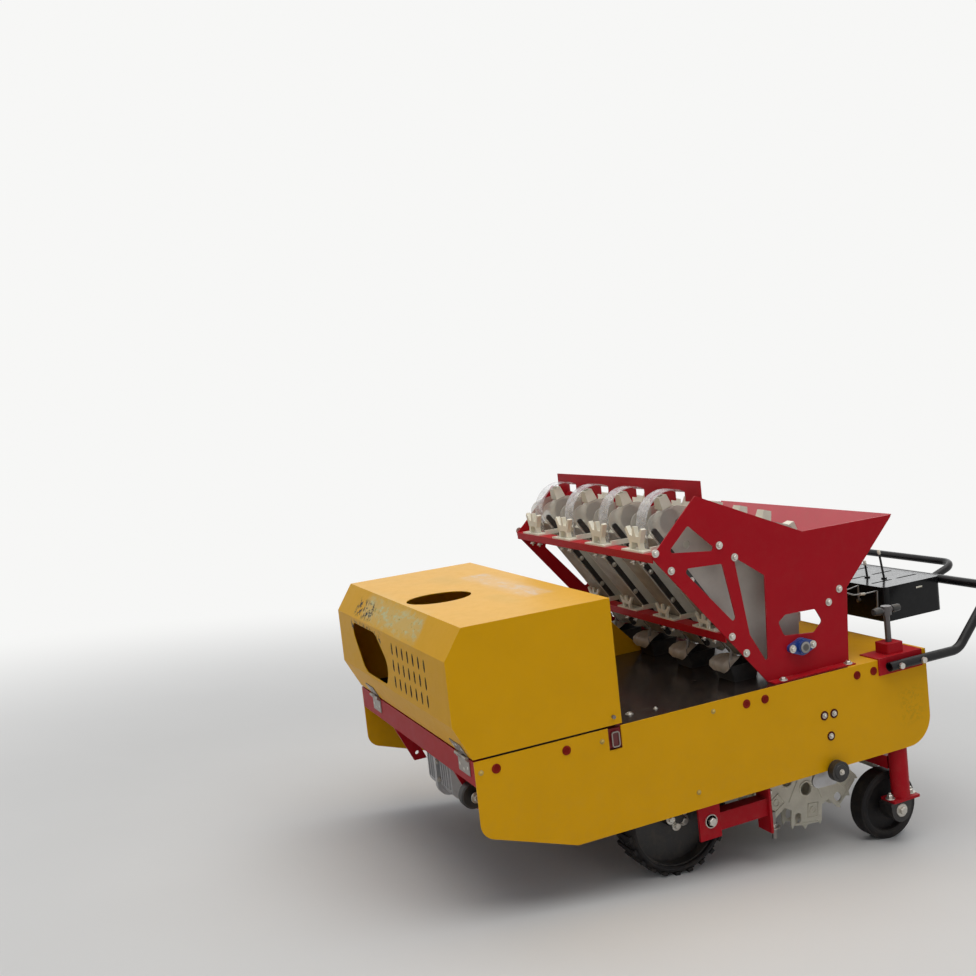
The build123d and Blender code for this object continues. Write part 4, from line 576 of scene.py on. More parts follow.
# Latches: a bright wire loop over a dark red pressed base, in the notch of each side panel. A dark strip
# under
# the rail fills the notch behind: painted shade.
LATCH_BASE = ((-0.42, 0.40, 0.35), (-0.38, 0.4722, 0.42))
NOTCH_SHADE_SPOT = (-0.4015, 0.4575, 0.343)
LATCH_RED = (0.13, 0.008, 0.008, 1.0)
LATCH_WIRE = (0.34, 0.31, 0.28, 1.0)


def block(size, soft=0.001, steps=1):
    """A small block with softened edges, standing on its own z = 0."""
    shape = bmesh.new()
    stretched = Matrix.Translation((0, 0, size[2] / 2)) @ Matrix.Diagonal((*size, 1.0))
    bmesh.ops.create_cube(shape, size=1.0, matrix=stretched)
    edges = shape.edges[:]
    bmesh.ops.bevel(shape, geom=edges, offset=soft, affect="EDGES", segments=steps, profile=0.5, material=-1)
    return shape


latch_fittings = finish(
    "latch_fittings", (0.66, 0.64, 0.58, 1.0), 0.34, worn=(0.30, 0.22, 0.15, 1.0),
    mottle=0.3, edge=0.4, grain=600.0,
)
tree = latch_fittings.node_tree
latch_base = both_patches(tree, *LATCH_BASE, 0.0002)
repaint(tree, latch_base, LATCH_WIRE, LATCH_RED)
feed(tree, "Metallic", eased(tree, latch_base, 0.0, 1.0, 0.8, 0.0))
dress(latch_fittings, "hood_fittings")
# A dark block in each notch: painted shade
latch_notch_shade = block((0.048, 0.018, 0.020))
fit("latch_notch_shades", set_out(latch_notch_shade, mirrored([NOTCH_SHADE_SPOT])), ring_red, "chassis")

# Hood seals: a thin black rubber strip stands on each rail, just inside the hood's lower edge. It is
# glued along its foot and closes the slit under the hood.
HOOD_SEAL = (-0.200, 0.4600, 0.4142)
rubber_black = finish(
    "rubber_black", (0.012, 0.011, 0.011, 1.0), 0.60, worn=(0.05, 0.05, 0.05, 1.0),
    dust=0.10, mottle=0.3, edge=0.4, grain=500.0, Specular_IOR_Level=0.25,
)
hood_seal = block((0.340, 0.003, 0.018), 0.0008)
fit("hood_seals", set_out(hood_seal, mirrored([HOOD_SEAL])), rubber_black, "chassis")

# Engine: a small air-cooled petrol engine on two cross tubes, with fins round its block, a pull-start
# cover on its front, and a black fuel tank with a cap on top. Only its dark shapes show in the openings.
ENGINE_FRONT = -0.050
ENGINE_REAR = -0.340
ENGINE_HALF = 0.155
ENGINE_TOP = 0.649
FIN_FOOT = 0.455
FIN_PITCH = 0.013
FINS = 9
COVER_VENTS = 24
TANK_X = -0.165
alloy = finish(
    "cast_alloy", (0.46, 0.46, 0.47, 1.0), 0.42, worn=(0.7, 0.7, 0.7, 1.0),
    dust=0.4, mottle=0.45, edge=0.6, grain=420.0, relief=0.5, Metallic=0.75,
)
bare_steel = finish(
    "bare_steel", (0.26, 0.25, 0.24, 1.0), 0.36, worn=(0.20, 0.13, 0.08, 1.0),
    dust=0.35, mottle=0.35, grain=700.0, Metallic=0.9,
)
black_iron = finish(
    "black_iron", (0.014, 0.013, 0.013, 1.0), 0.45, worn=(0.12, 0.11, 0.10, 1.0),
    dust=0.16, mottle=0.3, edge=0.5, relief=0.3,
)
dark_alloy = finish(
    "dark_alloy", (0.10, 0.095, 0.09, 1.0), 0.5, worn=(0.3, 0.3, 0.3, 1.0),
    dust=0.5, mottle=0.45, edge=0.6, grain=420.0, relief=0.5, Metallic=0.4,
)
dress(dark_alloy, "engine", "seed_shafts")
dress(alloy, "gearbox", "cam_plates")
dress(black_iron, "belt_pulley", "drive_axle")
fin = block((ENGINE_FRONT - ENGINE_REAR - 0.04, 2 * ENGINE_HALF + 0.012, 0.003), 0.0008)
engine_middle = (ENGINE_FRONT + ENGINE_REAR) / 2
fin_places = [Matrix.Translation((engine_middle, 0, FIN_FOOT + FIN_PITCH * i)) for i in range(FINS)]
fit("engine_fins", set_out(fin, fin_places), dark_alloy, "chassis")
cover_profile = [
    (0, 0), (0.086, 0), (0.086, 0.006), (0.078, 0.012), (0.050, 0.012), (0.048, 0.008), (0.030, 0.008),
    (0.028, 0.014), (0, 0.014),
]
vent = block((0.004, 0.016, 0.003), 0.0005)
vent.transform(Matrix.Translation((0, 0.064, 0.0115)))
vents = set_out(vent, [Matrix.Rotation(turn, 4, "Z") for turn in around(COVER_VENTS)])
cover = joined(turned(cover_profile, 40), vents)
cover.transform(facing((ENGINE_FRONT, 0.01, 0.555), (1, 0, 0)))
fit("pull_start_cover", cover, black_iron, "chassis")
tank = block((0.19, 0.26, 0.050), 0.016, 3)
cap = turned([(0, 0), (0.022, 0), (0.022, 0.010), (0.019, 0.013), (0, 0.013)])
cap.transform(Matrix.Translation((0.03, 0.04, 0.050)))
tank = joined(tank, cap)
tank.transform(Matrix.Translation((TANK_X, 0, ENGINE_TOP)))
fit("fuel_tank", tank, black_iron, "chassis")

# Gearbox and belt pulley: an aluminium casting with ribs, closed by bolted round caps, and a black pulley
# on its own bolt in the front bracket.
GEARBOX_MID = (-0.165, 0.268)
# Station of each round cap, and the way it faces
GEARBOX_CAPS = [(0.073, 1), (-0.133, -1)]
CAP_BOLTS = 6
CAP_BOLT_R = 0.035
RIB_STEPS = (-0.080, -0.062, -0.044, -0.026, 0.026, 0.044, 0.062, 0.080)
RIB_SPOT = (-0.078, -0.030, 0.203)
SEAM_Y = -0.021
SEAM_SPOTS = [
    (-0.0745, 0.215), (-0.0745, 0.268), (-0.0745, 0.321),
    (-0.2555, 0.215), (-0.2555, 0.268), (-0.2555, 0.321),
    (-0.120, 0.1675), (-0.210, 0.1675),
]
PULLEY_BOLT = (-0.042, 0.353, 0.282)
mid_x, mid_z = GEARBOX_MID
cap_places = [
    facing((mid_x + CAP_BOLT_R * math.cos(turn), y, mid_z + CAP_BOLT_R * math.sin(turn)), (0, way, 0))
    for y, way in GEARBOX_CAPS for turn in around(CAP_BOLTS)
]
fasten("gearbox_bolts", hexagon_bolt(0.010, 0.0045, 0.0012), cap_places)
cap_boss = turned([(0, 0), (0.021, 0), (0.020, 0.004), (0.013, 0.005), (0.012, 0.009), (0, 0.009)], 28)
boss_places = [facing((mid_x, y, mid_z), (0, way, 0)) for y, way in GEARBOX_CAPS]
fit("gearbox_bosses", set_out(cap_boss, boss_places), alloy, "chassis")
rib = block((0.006, 0.004, 0.130), 0.0012)
rib_places = [Matrix.Translation((RIB_SPOT[0], RIB_SPOT[1] + step, RIB_SPOT[2])) for step in RIB_STEPS]
fit("gearbox_ribs", set_out(rib, rib_places), alloy, "chassis")
seam_places = [facing((x, SEAM_Y, z), (0, 1, 0)) for x, z in SEAM_SPOTS]
fasten("gearbox_seam_bolts", hexagon_bolt(0.009, 0.005, 0.001), seam_places)
fasten("pulley_bolt", hexagon_bolt(0.017, 0.007, 0.002), [facing(PULLEY_BOLT, (0, 1, 0))])

# Deck: a flat steel plate in glossy black enamel, with wiped dust, laid over the frame between the side
# panels. A large and a small domed bolt hold it on each side.
deck_black = finish(
    "deck_black", (0.022, 0.017, 0.016, 1.0), 0.20, worn=(0.10, 0.09, 0.08, 1.0),
    dust=0.10, mottle=0.3, edge=0.5, grain=90.0, relief=0.05,
)
dress(deck_black, "deck_plate")
# Place and radius of each bolt, and its dome as shares of the radius and heights
DECK_BOLTS = [(-0.489, 0.402, 0.0115), (-0.566, 0.412, 0.0065)]
DOME = [(0, 0), (1, 0), (1, 0.0012), (0.7, 0.0018), (0.6, 0.0045), (0.3, 0.0058), (0, 0.0060)]
for number, (x, y, radius) in enumerate(DECK_BOLTS, start=1):
    dome = turned([(radius * share, height) for share, height in DOME])
    fasten(f"deck_bolt_{number}", dome, mirrored([(x, y, PANEL_TOP)]))

# Seed unit: two cut steel plates in red enamel, with the hopper's walls bolted between them. The hopper's
# back wall is sun-faded, and the hopper's pale floor is a creased plastic sheet.
PLATE_FACE = 0.430
FOOT_SHEET = 0.004
PLATE_BOLTS = [
    (-0.808, 0.832), (-0.855, 0.791), (-0.602, 0.842), (-0.646, 0.787), (-0.823, 0.571), (-0.866, 0.516),
    (-1.210, 0.640), (-1.168, 0.608),
]
FOOT_BOLTS = [(-0.970, 0.448), (-1.205, 0.448)]
SEED_SHAFT = (-1.053, 0.500)
BEARING_BOLT_STEP = 0.036
BEARING_FLANGE = 0.442
BEARING_FACE = 0.452
dress(red_enamel, "seed_plate_left", "seed_plate_right", "hopper_front_wall")
faded_red = finish(
    "faded_red", (0.52, 0.085, 0.10, 1.0), 0.42, worn=(0.6, 0.2, 0.2, 1.0),
    dust=0.2, mottle=0.15, edge=0.5, grain=120.0, relief=0.1, Specular_IOR_Level=0.3,
)
dress(faded_red, "hopper_back_wall")
fasten("plate_bolts", hexagon_bolt(0.0125, 0.0060, 0.0016), both_sides(PLATE_BOLTS, PLATE_FACE))
foot_spots = [(x, y, PANEL_TOP + FOOT_SHEET) for x, y in FOOT_BOLTS]
fasten("foot_bolts", hexagon_bolt(0.014, 0.0060, 0.0020), mirrored(foot_spots))
blue_enamel = finish(
    "blue_enamel", (0.016, 0.055, 0.27, 1.0), 0.32, worn=(0.25, 0.25, 0.27, 1.0),
    mottle=0.4, edge=0.9, grain=200.0, relief=0.3,
)
dress(blue_enamel, "flange_bearings")
bearing_spots = [(SEED_SHAFT[0] + step, SEED_SHAFT[1]) for step in (-BEARING_BOLT_STEP, BEARING_BOLT_STEP)]
fasten("bearing_bolts", hexagon_bolt(0.013, 0.0060, 0.0018), both_sides(bearing_spots, BEARING_FLANGE))
collar = turned([(0.0101, 0), (0.0165, 0), (0.0165, 0.0028), (0.0150, 0.0036), (0.0101, 0.0036)], 28)
collars = set_out(collar, both_sides([SEED_SHAFT], BEARING_FACE))
fit("bearing_collars", collars, bare_steel, "chassis")

# Row gear: moulded housings, rails, clamps and cup chains of the four rows, under bent clear strips.
# The housings are milky plastic, scratched and dusty. Each bar carries two long bolts a row.
ROW_YS = [-0.3225, -0.1075, 0.1075, 0.3225]
BAR_FRONTS = [(-0.592, 0.838), (-0.803, 0.579)]
BAR_BOLT_BACK = 0.018
BAR_BOLT_STEPS = (-0.026, 0.026)
COVER_BOLT = (-0.630, 0.872)
COVER_BOLT_STEPS = (-0.016, 0.016)
RAIL_TOP = Vector((-0.640, 0, 0.893))
RAIL_FOOT = Vector((-0.920, 0, 0.488))
RAIL_HALF = 0.051
RAIL_BOLT_SHARES = (0.12, 0.38, 0.62, 0.88)
SHEET_LIGHT = (0.64, 0.65, 0.57, 1.0)
SHEET_SHADE = (0.44, 0.44, 0.37, 1.0)
MILK_THIN = 0.62
MILK_THICK = 0.95
chute_plastic = finish(
    "chute_plastic", (0.78, 0.76, 0.67, 1.0), 0.45, worn=(0.75, 0.74, 0.70, 1.0),
    dust=0.35, mottle=0.5, edge=0.6, grain=260.0, relief=0.3,
)
tree = chute_plastic.node_tree
feed(tree, "Alpha", eased(tree, axes(tree, level_place(tree))["Z"], 0.80, 0.90, 0.92, 0.36))
pale_sheet = finish(
    "pale_sheet", (0.62, 0.63, 0.55, 1.0), 0.48, worn=(0.62, 0.60, 0.54, 1.0),
    dust=0.35, mottle=0.3, grain=60.0, relief=0.3,
)
tree = pale_sheet.node_tree
# The creases are painted as light and shaded bands: painted light and shade
crease = noise(tree, level_place(tree, (3.0, 14.0, 3.0)), 3.0, 3.0)
repaint(tree, eased(tree, crease, 0.46, 0.54), SHEET_LIGHT, SHEET_SHADE)
milky_sheet = finish(
    "milky_sheet", (0.44, 0.40, 0.33, 1.0), 0.42, dust=0.55, mottle=0.5, edge=0.0, grain=160.0, relief=0.3,
)
tree = milky_sheet.node_tree
milkiness = times(tree, flakes(tree, 14.0, 0.30, 0.75), MILK_THICK - MILK_THIN)
feed(tree, "Alpha", maths(tree, "ADD", milkiness, MILK_THIN))
cup_plastic = finish(
    "cup_plastic", (0.84, 0.80, 0.66, 1.0), 0.38, worn=(0.90, 0.88, 0.80, 1.0),
    dust=0.18, mottle=0.25, grain=260.0,
)
black_plastic = finish(
    "black_plastic", (0.018, 0.018, 0.018, 1.0), 0.42, worn=(0.09, 0.09, 0.08, 1.0),
    dust=0.4, mottle=0.3, edge=0.4, grain=400.0, relief=0.2,
)
clear_sheet = finish(
    "clear_sheet", (0.80, 0.79, 0.79, 1.0), 0.12, dust=0.35, mottle=0.1, edge=0.0, grain=60.0, relief=0.05,
    dust_colour=(0.75, 0.72, 0.70, 1.0),
)
tree = clear_sheet.node_tree
feed(tree, "Alpha", eased(tree, flakes(tree, 30.0, 0.30, 0.80), 0.0, 1.0, 0.20, 0.72))
dress(chute_plastic, "row_housings")
dress(pale_sheet, "hopper_floor")
dress(milky_sheet, "chute_fronts")
dress(cup_plastic, "seed_clamps", *[f"seed_chain_{row}" for row in (1, 2, 3, 4)])
dress(black_plastic, "row_rails", "funnels")
dress(clear_sheet, "row_covers")

shank = turned([(0, -0.041), (0.0026, -0.041), (0.0030, -0.040), (0.0030, 0.001), (0, 0.001)], 12)
hanging_nut = hexagon_bolt(0.011, 0.005, 0.001)
hanging_nut.transform(Matrix.Translation((0, 0, -0.034)))
bar_bolt = joined(shank, hexagon_bolt(0.010, 0.004, 0.001), hanging_nut)
bar_spots = [
    (x - BAR_BOLT_BACK, y + step, z) for x, z in BAR_FRONTS for y in ROW_YS for step in BAR_BOLT_STEPS
]
fasten("bar_bolts", bar_bolt, [Matrix.Translation(spot) for spot in bar_spots])
cover_spots = [(COVER_BOLT[0], y + step, COVER_BOLT[1]) for y in ROW_YS for step in COVER_BOLT_STEPS]
fasten("cover_bolts", hexagon_bolt(0.009, 0.004, 0.001), [facing(spot, (1, 0, 0)) for spot in cover_spots])
rail_places = [
    facing(RAIL_TOP.lerp(RAIL_FOOT, share) + Vector((0, y + side * RAIL_HALF, 0)), (0, side, 0))
    for y in ROW_YS for side in (1, -1) for share in RAIL_BOLT_SHARES
]
fasten("rail_bolts", hexagon_bolt(0.009, 0.004, 0.001), rail_places)

# Drop flaps: a pale soft flap hangs over the mouth of every funnel, puffed out and creased, with a light
# spring rod beside it that lets it swing back.
FLAP_THICK = 0.0012
# Points down each flap: x, z and half its width
FLAP_LINE = [
    (-0.896, 0.487, 0.028), (-0.880, 0.486, 0.041), (-0.862, 0.480, 0.049), (-0.848, 0.469, 0.050),
    (-0.842, 0.456, 0.043), (-0.843, 0.446, 0.024),
]
SPRING_TURNS = 7
SPRING_STEPS = 12
SPRING_R = 0.0052
SPRING_WIRE_R = 0.0009
SPRING_PITCH = 0.0035
SPRING_FOOT = (-0.842, 0.060, 0.492)
HOOK_LINE = [
    (-0.824, 0.060, 0.574), (-0.829, 0.060, 0.540), (-0.848, 0.060, 0.520), (-0.838, 0.060, 0.488),
    (-0.842, 0.056, 0.468), (-0.850, 0.043, 0.462),
]
row_places = [Matrix.Translation((0, y, 0)) for y in ROW_YS]
flap = bmesh.new()
bmesh.ops.create_grid(flap, x_segments=len(FLAP_LINE) - 1, y_segments=14, size=0.5)
for vert in flap.verts:
    x, z, half = FLAP_LINE[round((vert.co.x + 0.5) * (len(FLAP_LINE) - 1))]
    across = 2 * vert.co.y
    ripple = 0.0022 * math.sin(9.0 * across + 40.0 * x) * (0.3 + abs(across))
    puff = 0.006 * (1 - across**2) + ripple
    vert.co = Vector((x + puff, half * across, z + 0.7 * puff))
bmesh.ops.subdivide_edges(flap, edges=flap.edges[:], cuts=1, smooth=0.6, use_grid_fill=True)
bmesh.ops.solidify(flap, geom=flap.faces[:], thickness=FLAP_THICK)
flap_film = finish(
    "flap_film", (0.52, 0.46, 0.38, 1.0), 0.35, mottle=0.6, edge=0.0, grain=90.0, relief=0.5,
)
fit("drop_flaps", set_out(flap, row_places), flap_film, "chassis", 60.0)


def bent_rod(points, radius, sides=8):
    """A round rod bent along a line of points, closed at both ends."""
    shape = bmesh.new()
    points = [Vector(point) for point in points]
    runs = [(end - start).normalized() for start, end in zip(points, points[1:])]
    ways = [runs[0]] + [(before + after).normalized() for before, after in zip(runs, runs[1:])] + [runs[-1]]
    first = facing(points[0], ways[0])
    bmesh.ops.create_circle(shape, cap_ends=True, segments=sides, radius=radius, matrix=first)
    shape.faces.ensure_lookup_table()
    end = shape.faces[0]
    for start, stop, way, next_way in zip(points, points[1:], ways, ways[1:]):
        grown = bmesh.ops.extrude_face_region(shape, geom=[end])["geom"]
        end = next(item for item in grown if isinstance(item, bmesh.types.BMFace))
        bend = way.rotation_difference(next_way).to_matrix()
        bmesh.ops.rotate(shape, cent=start, matrix=bend, verts=end.verts)
        bmesh.ops.translate(shape, vec=stop - start, verts=end.verts)
    return shape


spring = bmesh.new()
wire_end = Matrix.Translation((SPRING_R, 0, 0)) @ Matrix.Rotation(math.pi / 2, 4, "X")
bmesh.ops.create_circle(spring, segments=6, radius=SPRING_WIRE_R, matrix=wire_end)
coiling = {
    "axis": (0, 0, 1),
    "cent": (0, 0, 0),
    "dvec": (0, 0, SPRING_PITCH / SPRING_STEPS),
    "angle": SPRING_TURNS * math.tau,
    "steps": SPRING_TURNS * SPRING_STEPS,
}
bmesh.ops.spin(spring, geom=spring.verts[:] + spring.edges[:], **coiling)
spring.transform(facing(SPRING_FOOT, (-0.25, 0, 1)))
springs = set_out(joined(spring, bent_rod(HOOK_LINE, 0.0016)), row_places)
fit("flap_springs", springs, bare_steel, "chassis", 60.0)

# Running gear: rubber drive wheels on steel discs, solid rubber rear wheels, black hubs.
# The tyres have slanting lugs between their cross ribs and a moulded ring on each side.
DRIVE_AXLE = (-0.619, 0.089)
DRIVE_Y = 0.345
DRIVE_HALF = 0.045
LUG_R = 0.1580
LUGS = 24
LUG_STEP = 0.021
LUG_SKEW = 0.5
HUB_FACE = 0.385
HUB_BOLT_R = 0.023
HUB_BOLTS = 5
REAR_AXLE = (-1.355, -0.059)
REAR_Y = 0.376
REAR_HALF = 0.024
dusty_rubber = finish(
    "dusty_rubber", (0.008, 0.007, 0.008, 1.0), 0.60, worn=(0.04, 0.036, 0.032, 1.0),
    dust=0.09, mottle=0.3, edge=0.5, relief=0.4, Specular_IOR_Level=0.25,
)
dress(dusty_rubber, "drive_tyre_left", "drive_tyre_right", "rear_wheel_left", "rear_wheel_right")
dress(black_iron, "planting_shaft", "rear_hubs")


def round_axle(centre, y, turn):
    """A place at an axle's station y, turned round the axle, whose own Z axis points away from it."""
    return Matrix.Translation((centre[0], y, centre[1])) @ Matrix.Rotation(turn, 4, "Y")


def wheel_sides(centre, y, half):
    """Places on the two side faces of a wheel."""
    return [facing((centre[0], y + way * half, centre[1]), (0, way, 0)) for way in (1, -1)]


lug = block((0.008, 0.036, 0.0040), 0.0012)
lug.transform(Matrix.Translation((0, 0, LUG_R)))
lug_places = []
for side in (1, -1):
    for turn in around(LUGS):
        for half in (1, -1):
            skew = Matrix.Translation((0, half * LUG_STEP, 0)) @ Matrix.Rotation(half * LUG_SKEW, 4, "Z")
            lug_places.append(round_axle(DRIVE_AXLE, side * DRIVE_Y, turn + math.pi / LUGS - TILT) @ skew)
fit("drive_lugs", set_out(lug, lug_places), dusty_rubber, "drive_set")
wall_profile = [
    (0.1435, -0.001), (0.1435, 0.0014), (0.1455, 0.0022),
    (0.1485, 0.0022), (0.1500, 0.0012), (0.1500, -0.001),
]
wall_places = wheel_sides(DRIVE_AXLE, DRIVE_Y, DRIVE_HALF) + wheel_sides(DRIVE_AXLE, -DRIVE_Y, DRIVE_HALF)
wall_rings = set_out(turned(wall_profile, 64), wall_places)
fit("drive_tyre_rings", wall_rings, dusty_rubber, "drive_set", 50.0)
hub_places = [
    round_axle(DRIVE_AXLE, side * HUB_FACE, turn) @ facing((HUB_BOLT_R, 0, 0), (0, side, 0))
    for side in (1, -1) for turn in around(HUB_BOLTS)
]
fasten("drive_hub_bolts", hexagon_bolt(0.017, 0.008, 0.002), hub_places, "drive_set")
tyre_profile = [
    (0.083, -0.001), (0.083, 0.0008), (0.086, 0.0020), (0.098, 0.0020), (0.100, 0.0008), (0.100, -0.001),
]
hub_profile = [
    (0.0085, -0.001), (0.0225, -0.001), (0.0215, 0.0016),
    (0.0130, 0.0016), (0.0120, 0.0008), (0.0085, 0.0008),
]
for side, end in ((1, "left"), (-1, "right")):
    rings = joined(turned(tyre_profile, 56), turned(hub_profile, 28))
    rings = set_out(rings, wheel_sides(REAR_AXLE, side * REAR_Y, REAR_HALF))
    fit(f"rear_wheel_rings_{end}", rings, dusty_rubber, f"rear_roll_{end}", 50.0)

# Rear posts: each round red post stands on a flange that two nuts hold to the black wheel housing, and
# the planting arms' brackets have one big zinc pivot bolt.
POST_SPOT = (-1.375, 0.4325, -0.025)
POST_NUT_STEP = 0.040
HOUSING_FACE = 0.456
ARM_PIVOT = (-0.688, 0.078)
ARM_FACE = 0.444
FLANGE_X = -0.893
FLANGE_Y = 0.416
FLANGE_STEPS = (-0.018, 0.018)
FLANGE_ZS = (0.004, 0.106)
stud = turned([(0, 0), (0.0045, 0), (0.0045, 0.017), (0.0038, 0.018), (0, 0.018)], 14)
post_spots = [(POST_SPOT[0] + step, *POST_SPOT[1:]) for step in (-POST_NUT_STEP, POST_NUT_STEP)]
fasten("post_nuts", joined(hexagon_bolt(0.016, 0.010, 0.002), stud), mirrored(post_spots))
fasten("rear_pin_nuts", hexagon_bolt(0.022, 0.009, 0.002), both_sides([REAR_AXLE], HOUSING_FACE))
pivot_washer = turned([(0, 0), (0.017, 0), (0.017, 0.003), (0, 0.003)], 28)
pivot_bolt = joined(pivot_washer, hexagon_bolt(0.022, 0.010, 0.003))
fasten("arm_pivot_bolts", pivot_bolt, both_sides([ARM_PIVOT], ARM_FACE))
flange_places = [
    facing((FLANGE_X, side * (FLANGE_Y + step), z), (-1, 0, 0))
    for side in (1, -1) for step in FLANGE_STEPS for z in FLANGE_ZS
]
fasten("arm_flange_bolts", hexagon_bolt(0.015, 0.008, 0.002), flange_places)

# Planting wheels: bill wheels of cast iron, pale with dried soil. Their side plates have raised rings
# round the light holes, ribs between them, and a pad with a bolt where each bill body is held.
PLANT_SHAFT = (-1.105, 0.132)
PLATE_HALF = 0.024
BILLS = 7
FIRST_BILL = math.radians(90.0) - TILT
SUNK = -0.001
BOSS_FACE = 0.498
BOSS_CAP = 0.003
bill_iron = finish(
    "bill_iron", (0.70, 0.66, 0.54, 1.0), 0.50, worn=(0.80, 0.78, 0.70, 1.0),
    dust=0.28, mottle=0.35, edge=0.6, grain=240.0, relief=0.5,
)
dress(bill_iron, *[f"planting_wheel_{row}" for row in (1, 2, 3, 4)])
eye_profile = [
    (0.0195, SUNK), (0.0195, 0.0016), (0.0205, 0.0024), (0.0240, 0.0024), (0.0255, 0.0010), (0.0255, SUNK),
]
eye_ring = turned(eye_profile)
eye_ring.transform(Matrix.Translation((0.092, 0, 0)))
spoke = block((0.092, 0.006, 0.0030))
spoke.transform(Matrix.Rotation(math.pi / BILLS, 4, "Z") @ Matrix.Translation((0.094, 0, SUNK)))
long_bars = set_out(block((0.044, 0.0028, 0.0034)), mirrored([(0, 0.0186, 0)]))
end_places = [Matrix.Translation((x, 0, 0)) for x in (-0.0206, 0.0206)]
short_bars = set_out(block((0.0028, 0.040, 0.0034)), end_places)
pad_ring = turned([(0.0085, 0), (0.0085, 0.0034), (0.0115, 0.0034), (0.0115, 0)], 20)
pad = joined(long_bars, short_bars, pad_ring)
pad.transform(Matrix.Translation((0.160, -0.028, SUNK)))
tooth_bead = block((0.006, 0.086, 0.0030))
tooth_bead.transform(Matrix.Translation((0.197, -0.005, SUNK)))
sector = joined(eye_ring, spoke, pad, tooth_bead)
hub_ring = turned([(0.036, SUNK), (0.036, 0.0026), (0.044, 0.0018), (0.046, SUNK)], 32)
sectors = set_out(sector, [Matrix.Rotation(turn, 4, "Z") for turn in around(BILLS)])
wheel_faces = []
for y in ROW_YS:
    for way in (1, -1):
        plate = Matrix.Translation((PLANT_SHAFT[0], y + way * PLATE_HALF, PLANT_SHAFT[1]))
        plate = plate @ Matrix.Rotation(math.pi / 2, 4, "X") @ Matrix.Diagonal((1.0, 1.0, -way, 1.0))
        wheel_faces.append(plate @ Matrix.Rotation(-FIRST_BILL, 4, "Z"))
castings = set_out(joined(sectors, hub_ring), wheel_faces)
fit("bill_wheel_castings", castings, bill_iron, "planting_set", 40.0)
boss_profile = [(0, 0), (0.022, 0), (0.021, 0.002), (0.012, BOSS_CAP), (0, BOSS_CAP)]
boss_caps = set_out(turned(boss_profile, 28), both_sides([PLANT_SHAFT], BOSS_FACE))
fit("planting_boss_caps", boss_caps, black_iron, "planting_set")
boss_bolt = hexagon_bolt(0.0095, 0.006, 0.0015)
fasten("planting_boss_bolts", boss_bolt, both_sides([PLANT_SHAFT], BOSS_FACE + BOSS_CAP), "planting_set")

# Depth rods: a round rod of bare steel hangs through the end of each planting arm, and a lock nut on top
# of the arm holds it at its height.
ROD_SPOT = (-0.905, 0.430, 0)
depth_rod = joined(bent_rod([(0, 0, 0.045), (0, 0, -0.034)], 0.0075, 16), hexagon_bolt(0.022, 0.010, 0.001))
fit("depth_rods", set_out(depth_rod, mirrored([ROD_SPOT])), bare_steel, "chassis")

# Handlebar, depth screws and console: round tube and folded tray in black powder coat. The crossed screw
# handles have black sleeves, and two thin rods run from cranks under the tray to the seed unit's knee.
CONSOLE_FRONT = -1.497
CRANK_X = CONSOLE_FRONT + 0.006
CONSOLE_SIDE = 0.300
SCREW = (-1.375, 0.4345, 0.548)
SLEEVE_START = 0.021
BLOCK_BOLTS = ((-1.46, 0.5040, 0.38), (-1.33, 0.52, 0.41))
BOLT_ZINC = (0.60, 0.58, 0.53, 1.0)
# Tip of each console lever, and the way it leans
LEVER_TIPS = [((-1.585, 0.1266, 0.617), (0, -0.15, 1)), ((-1.602, 0.1768, 0.655), (0, -0.17, 1))]
MARK_SPOT = (-1.640, CONSOLE_SIDE, 0.556)
# Bends of the two rods from their cranks to the knee
LONG_ROD = [(CRANK_X, 0.276, 0.566), (-1.42, 0.300, 0.572), (-1.32, 0.365, 0.594), (-1.240, 0.424, 0.622)]
HIGH_ROD = [(CRANK_X, 0.192, 0.573), (-1.42, 0.235, 0.580), (-1.32, 0.335, 0.606), (-1.240, 0.424, 0.637)]
# Lower end of each crank, and the station and height of its pin
CRANKS = [
    (LONG_ROD, (CRANK_X, 0.271, 0.505), (0.271, 0.508)),
    (HIGH_ROD, (CRANK_X, 0.190, 0.520), (0.190, 0.524)),
]
PIN_XS = (CONSOLE_FRONT - 0.002, CONSOLE_FRONT + 0.012)
SLEEVE_LINE = [(-1.415, 0.3025, 0.5730), (-1.375, 0.328, 0.582)]
powder_black = finish(
    "powder_black", (0.008, 0.008, 0.009, 1.0), 0.30, worn=(0.12, 0.12, 0.11, 1.0),
    dust=0.05, mottle=0.25, edge=0.5, grain=500.0, relief=0.2, Specular_IOR_Level=0.25,
)
console_black = finish(
    "console_black", (0.008, 0.008, 0.009, 1.0), 0.16, worn=(0.12, 0.12, 0.11, 1.0),
    dust=0.05, mottle=0.25, edge=0.5, grain=500.0, relief=0.1,
    dust_colour=(0.45, 0.44, 0.40, 1.0), Specular_IOR_Level=0.15,
)
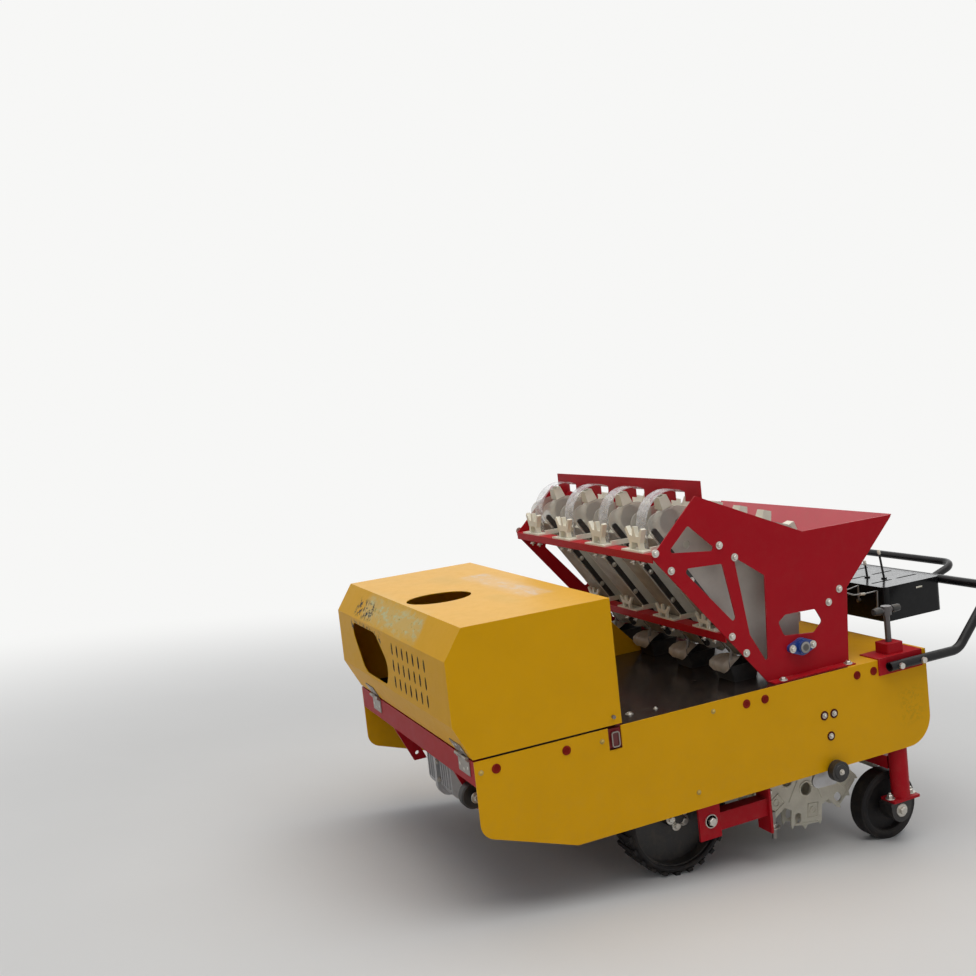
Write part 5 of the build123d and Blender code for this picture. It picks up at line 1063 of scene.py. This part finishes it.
screw_steel = finish(
    "screw_steel", (0.11, 0.10, 0.10, 1.0), 0.36, worn=(0.35, 0.33, 0.30, 1.0),
    dust=0.25, mottle=0.4, edge=0.6, grain=500.0, relief=0.3, Metallic=0.6,
)
block_red = finish("block_red", RED, 0.40, **RED_ENAMEL)
tree = block_red.node_tree
bolt_heads = both_patches(tree, *BLOCK_BOLTS, 0.0003)
repaint(tree, bolt_heads, RED, BOLT_ZINC)
feed(tree, "Metallic", eased(tree, bolt_heads, 0.0, 1.0, 0.0, 0.8))
dress(powder_black, "handlebar", "console_levers")
dress(console_black, "console")
dress(screw_steel, "depth_screws")
dress(block_red, "rear_blocks")
sleeve_profile = [
    (0.0082, 0), (0.0105, 0), (0.0112, 0.004), (0.0108, 0.024), (0.0098, 0.028), (0.0082, 0.028),
]
sleeve_places = [
    facing((SCREW[0] + end * SLEEVE_START, side * SCREW[1], SCREW[2]), (end, 0, 0))
    for side in (1, -1) for end in (1, -1)
]
sleeves = set_out(turned(sleeve_profile, 20), sleeve_places)
fit("screw_sleeves", sleeves, black_plastic, "chassis", 50.0)
# Pale caps on the lever tips: a painted highlight, for the light caught at the top of each black lever
highlight_cap = turned([(0, 0), (0.0040, 0), (0.0052, 0.004), (0.0052, 0.012), (0.0036, 0.016), (0, 0.017)], 16)
highlight_caps = set_out(highlight_cap, [facing(tip, lean) for tip, lean in LEVER_TIPS])
fit("lever_tip_highlights", highlight_caps, cup_plastic, "chassis", 50.0)
mark = block((0.026, 0.005, 0.0008), 0.0003)
mark.transform(facing(MARK_SPOT, (0, 1, 0)))
fit("console_mark", mark, cup_plastic, "chassis")
rod_pieces = [bent_rod(LONG_ROD, 0.0022), bent_rod(HIGH_ROD, 0.0022)]
for rod, crank_end, (pin_y, pin_z) in CRANKS:
    rod_pieces.append(bent_rod([rod[0], crank_end], 0.0030))
    rod_pieces.append(bent_rod([(x, pin_y, pin_z) for x in PIN_XS], 0.0060))
fit("link_rods", joined(*rod_pieces), bare_steel, "chassis", 50.0)
fit("link_sleeve", bent_rod(SLEEVE_LINE, 0.0042, 12), cup_plastic, "chassis", 50.0)
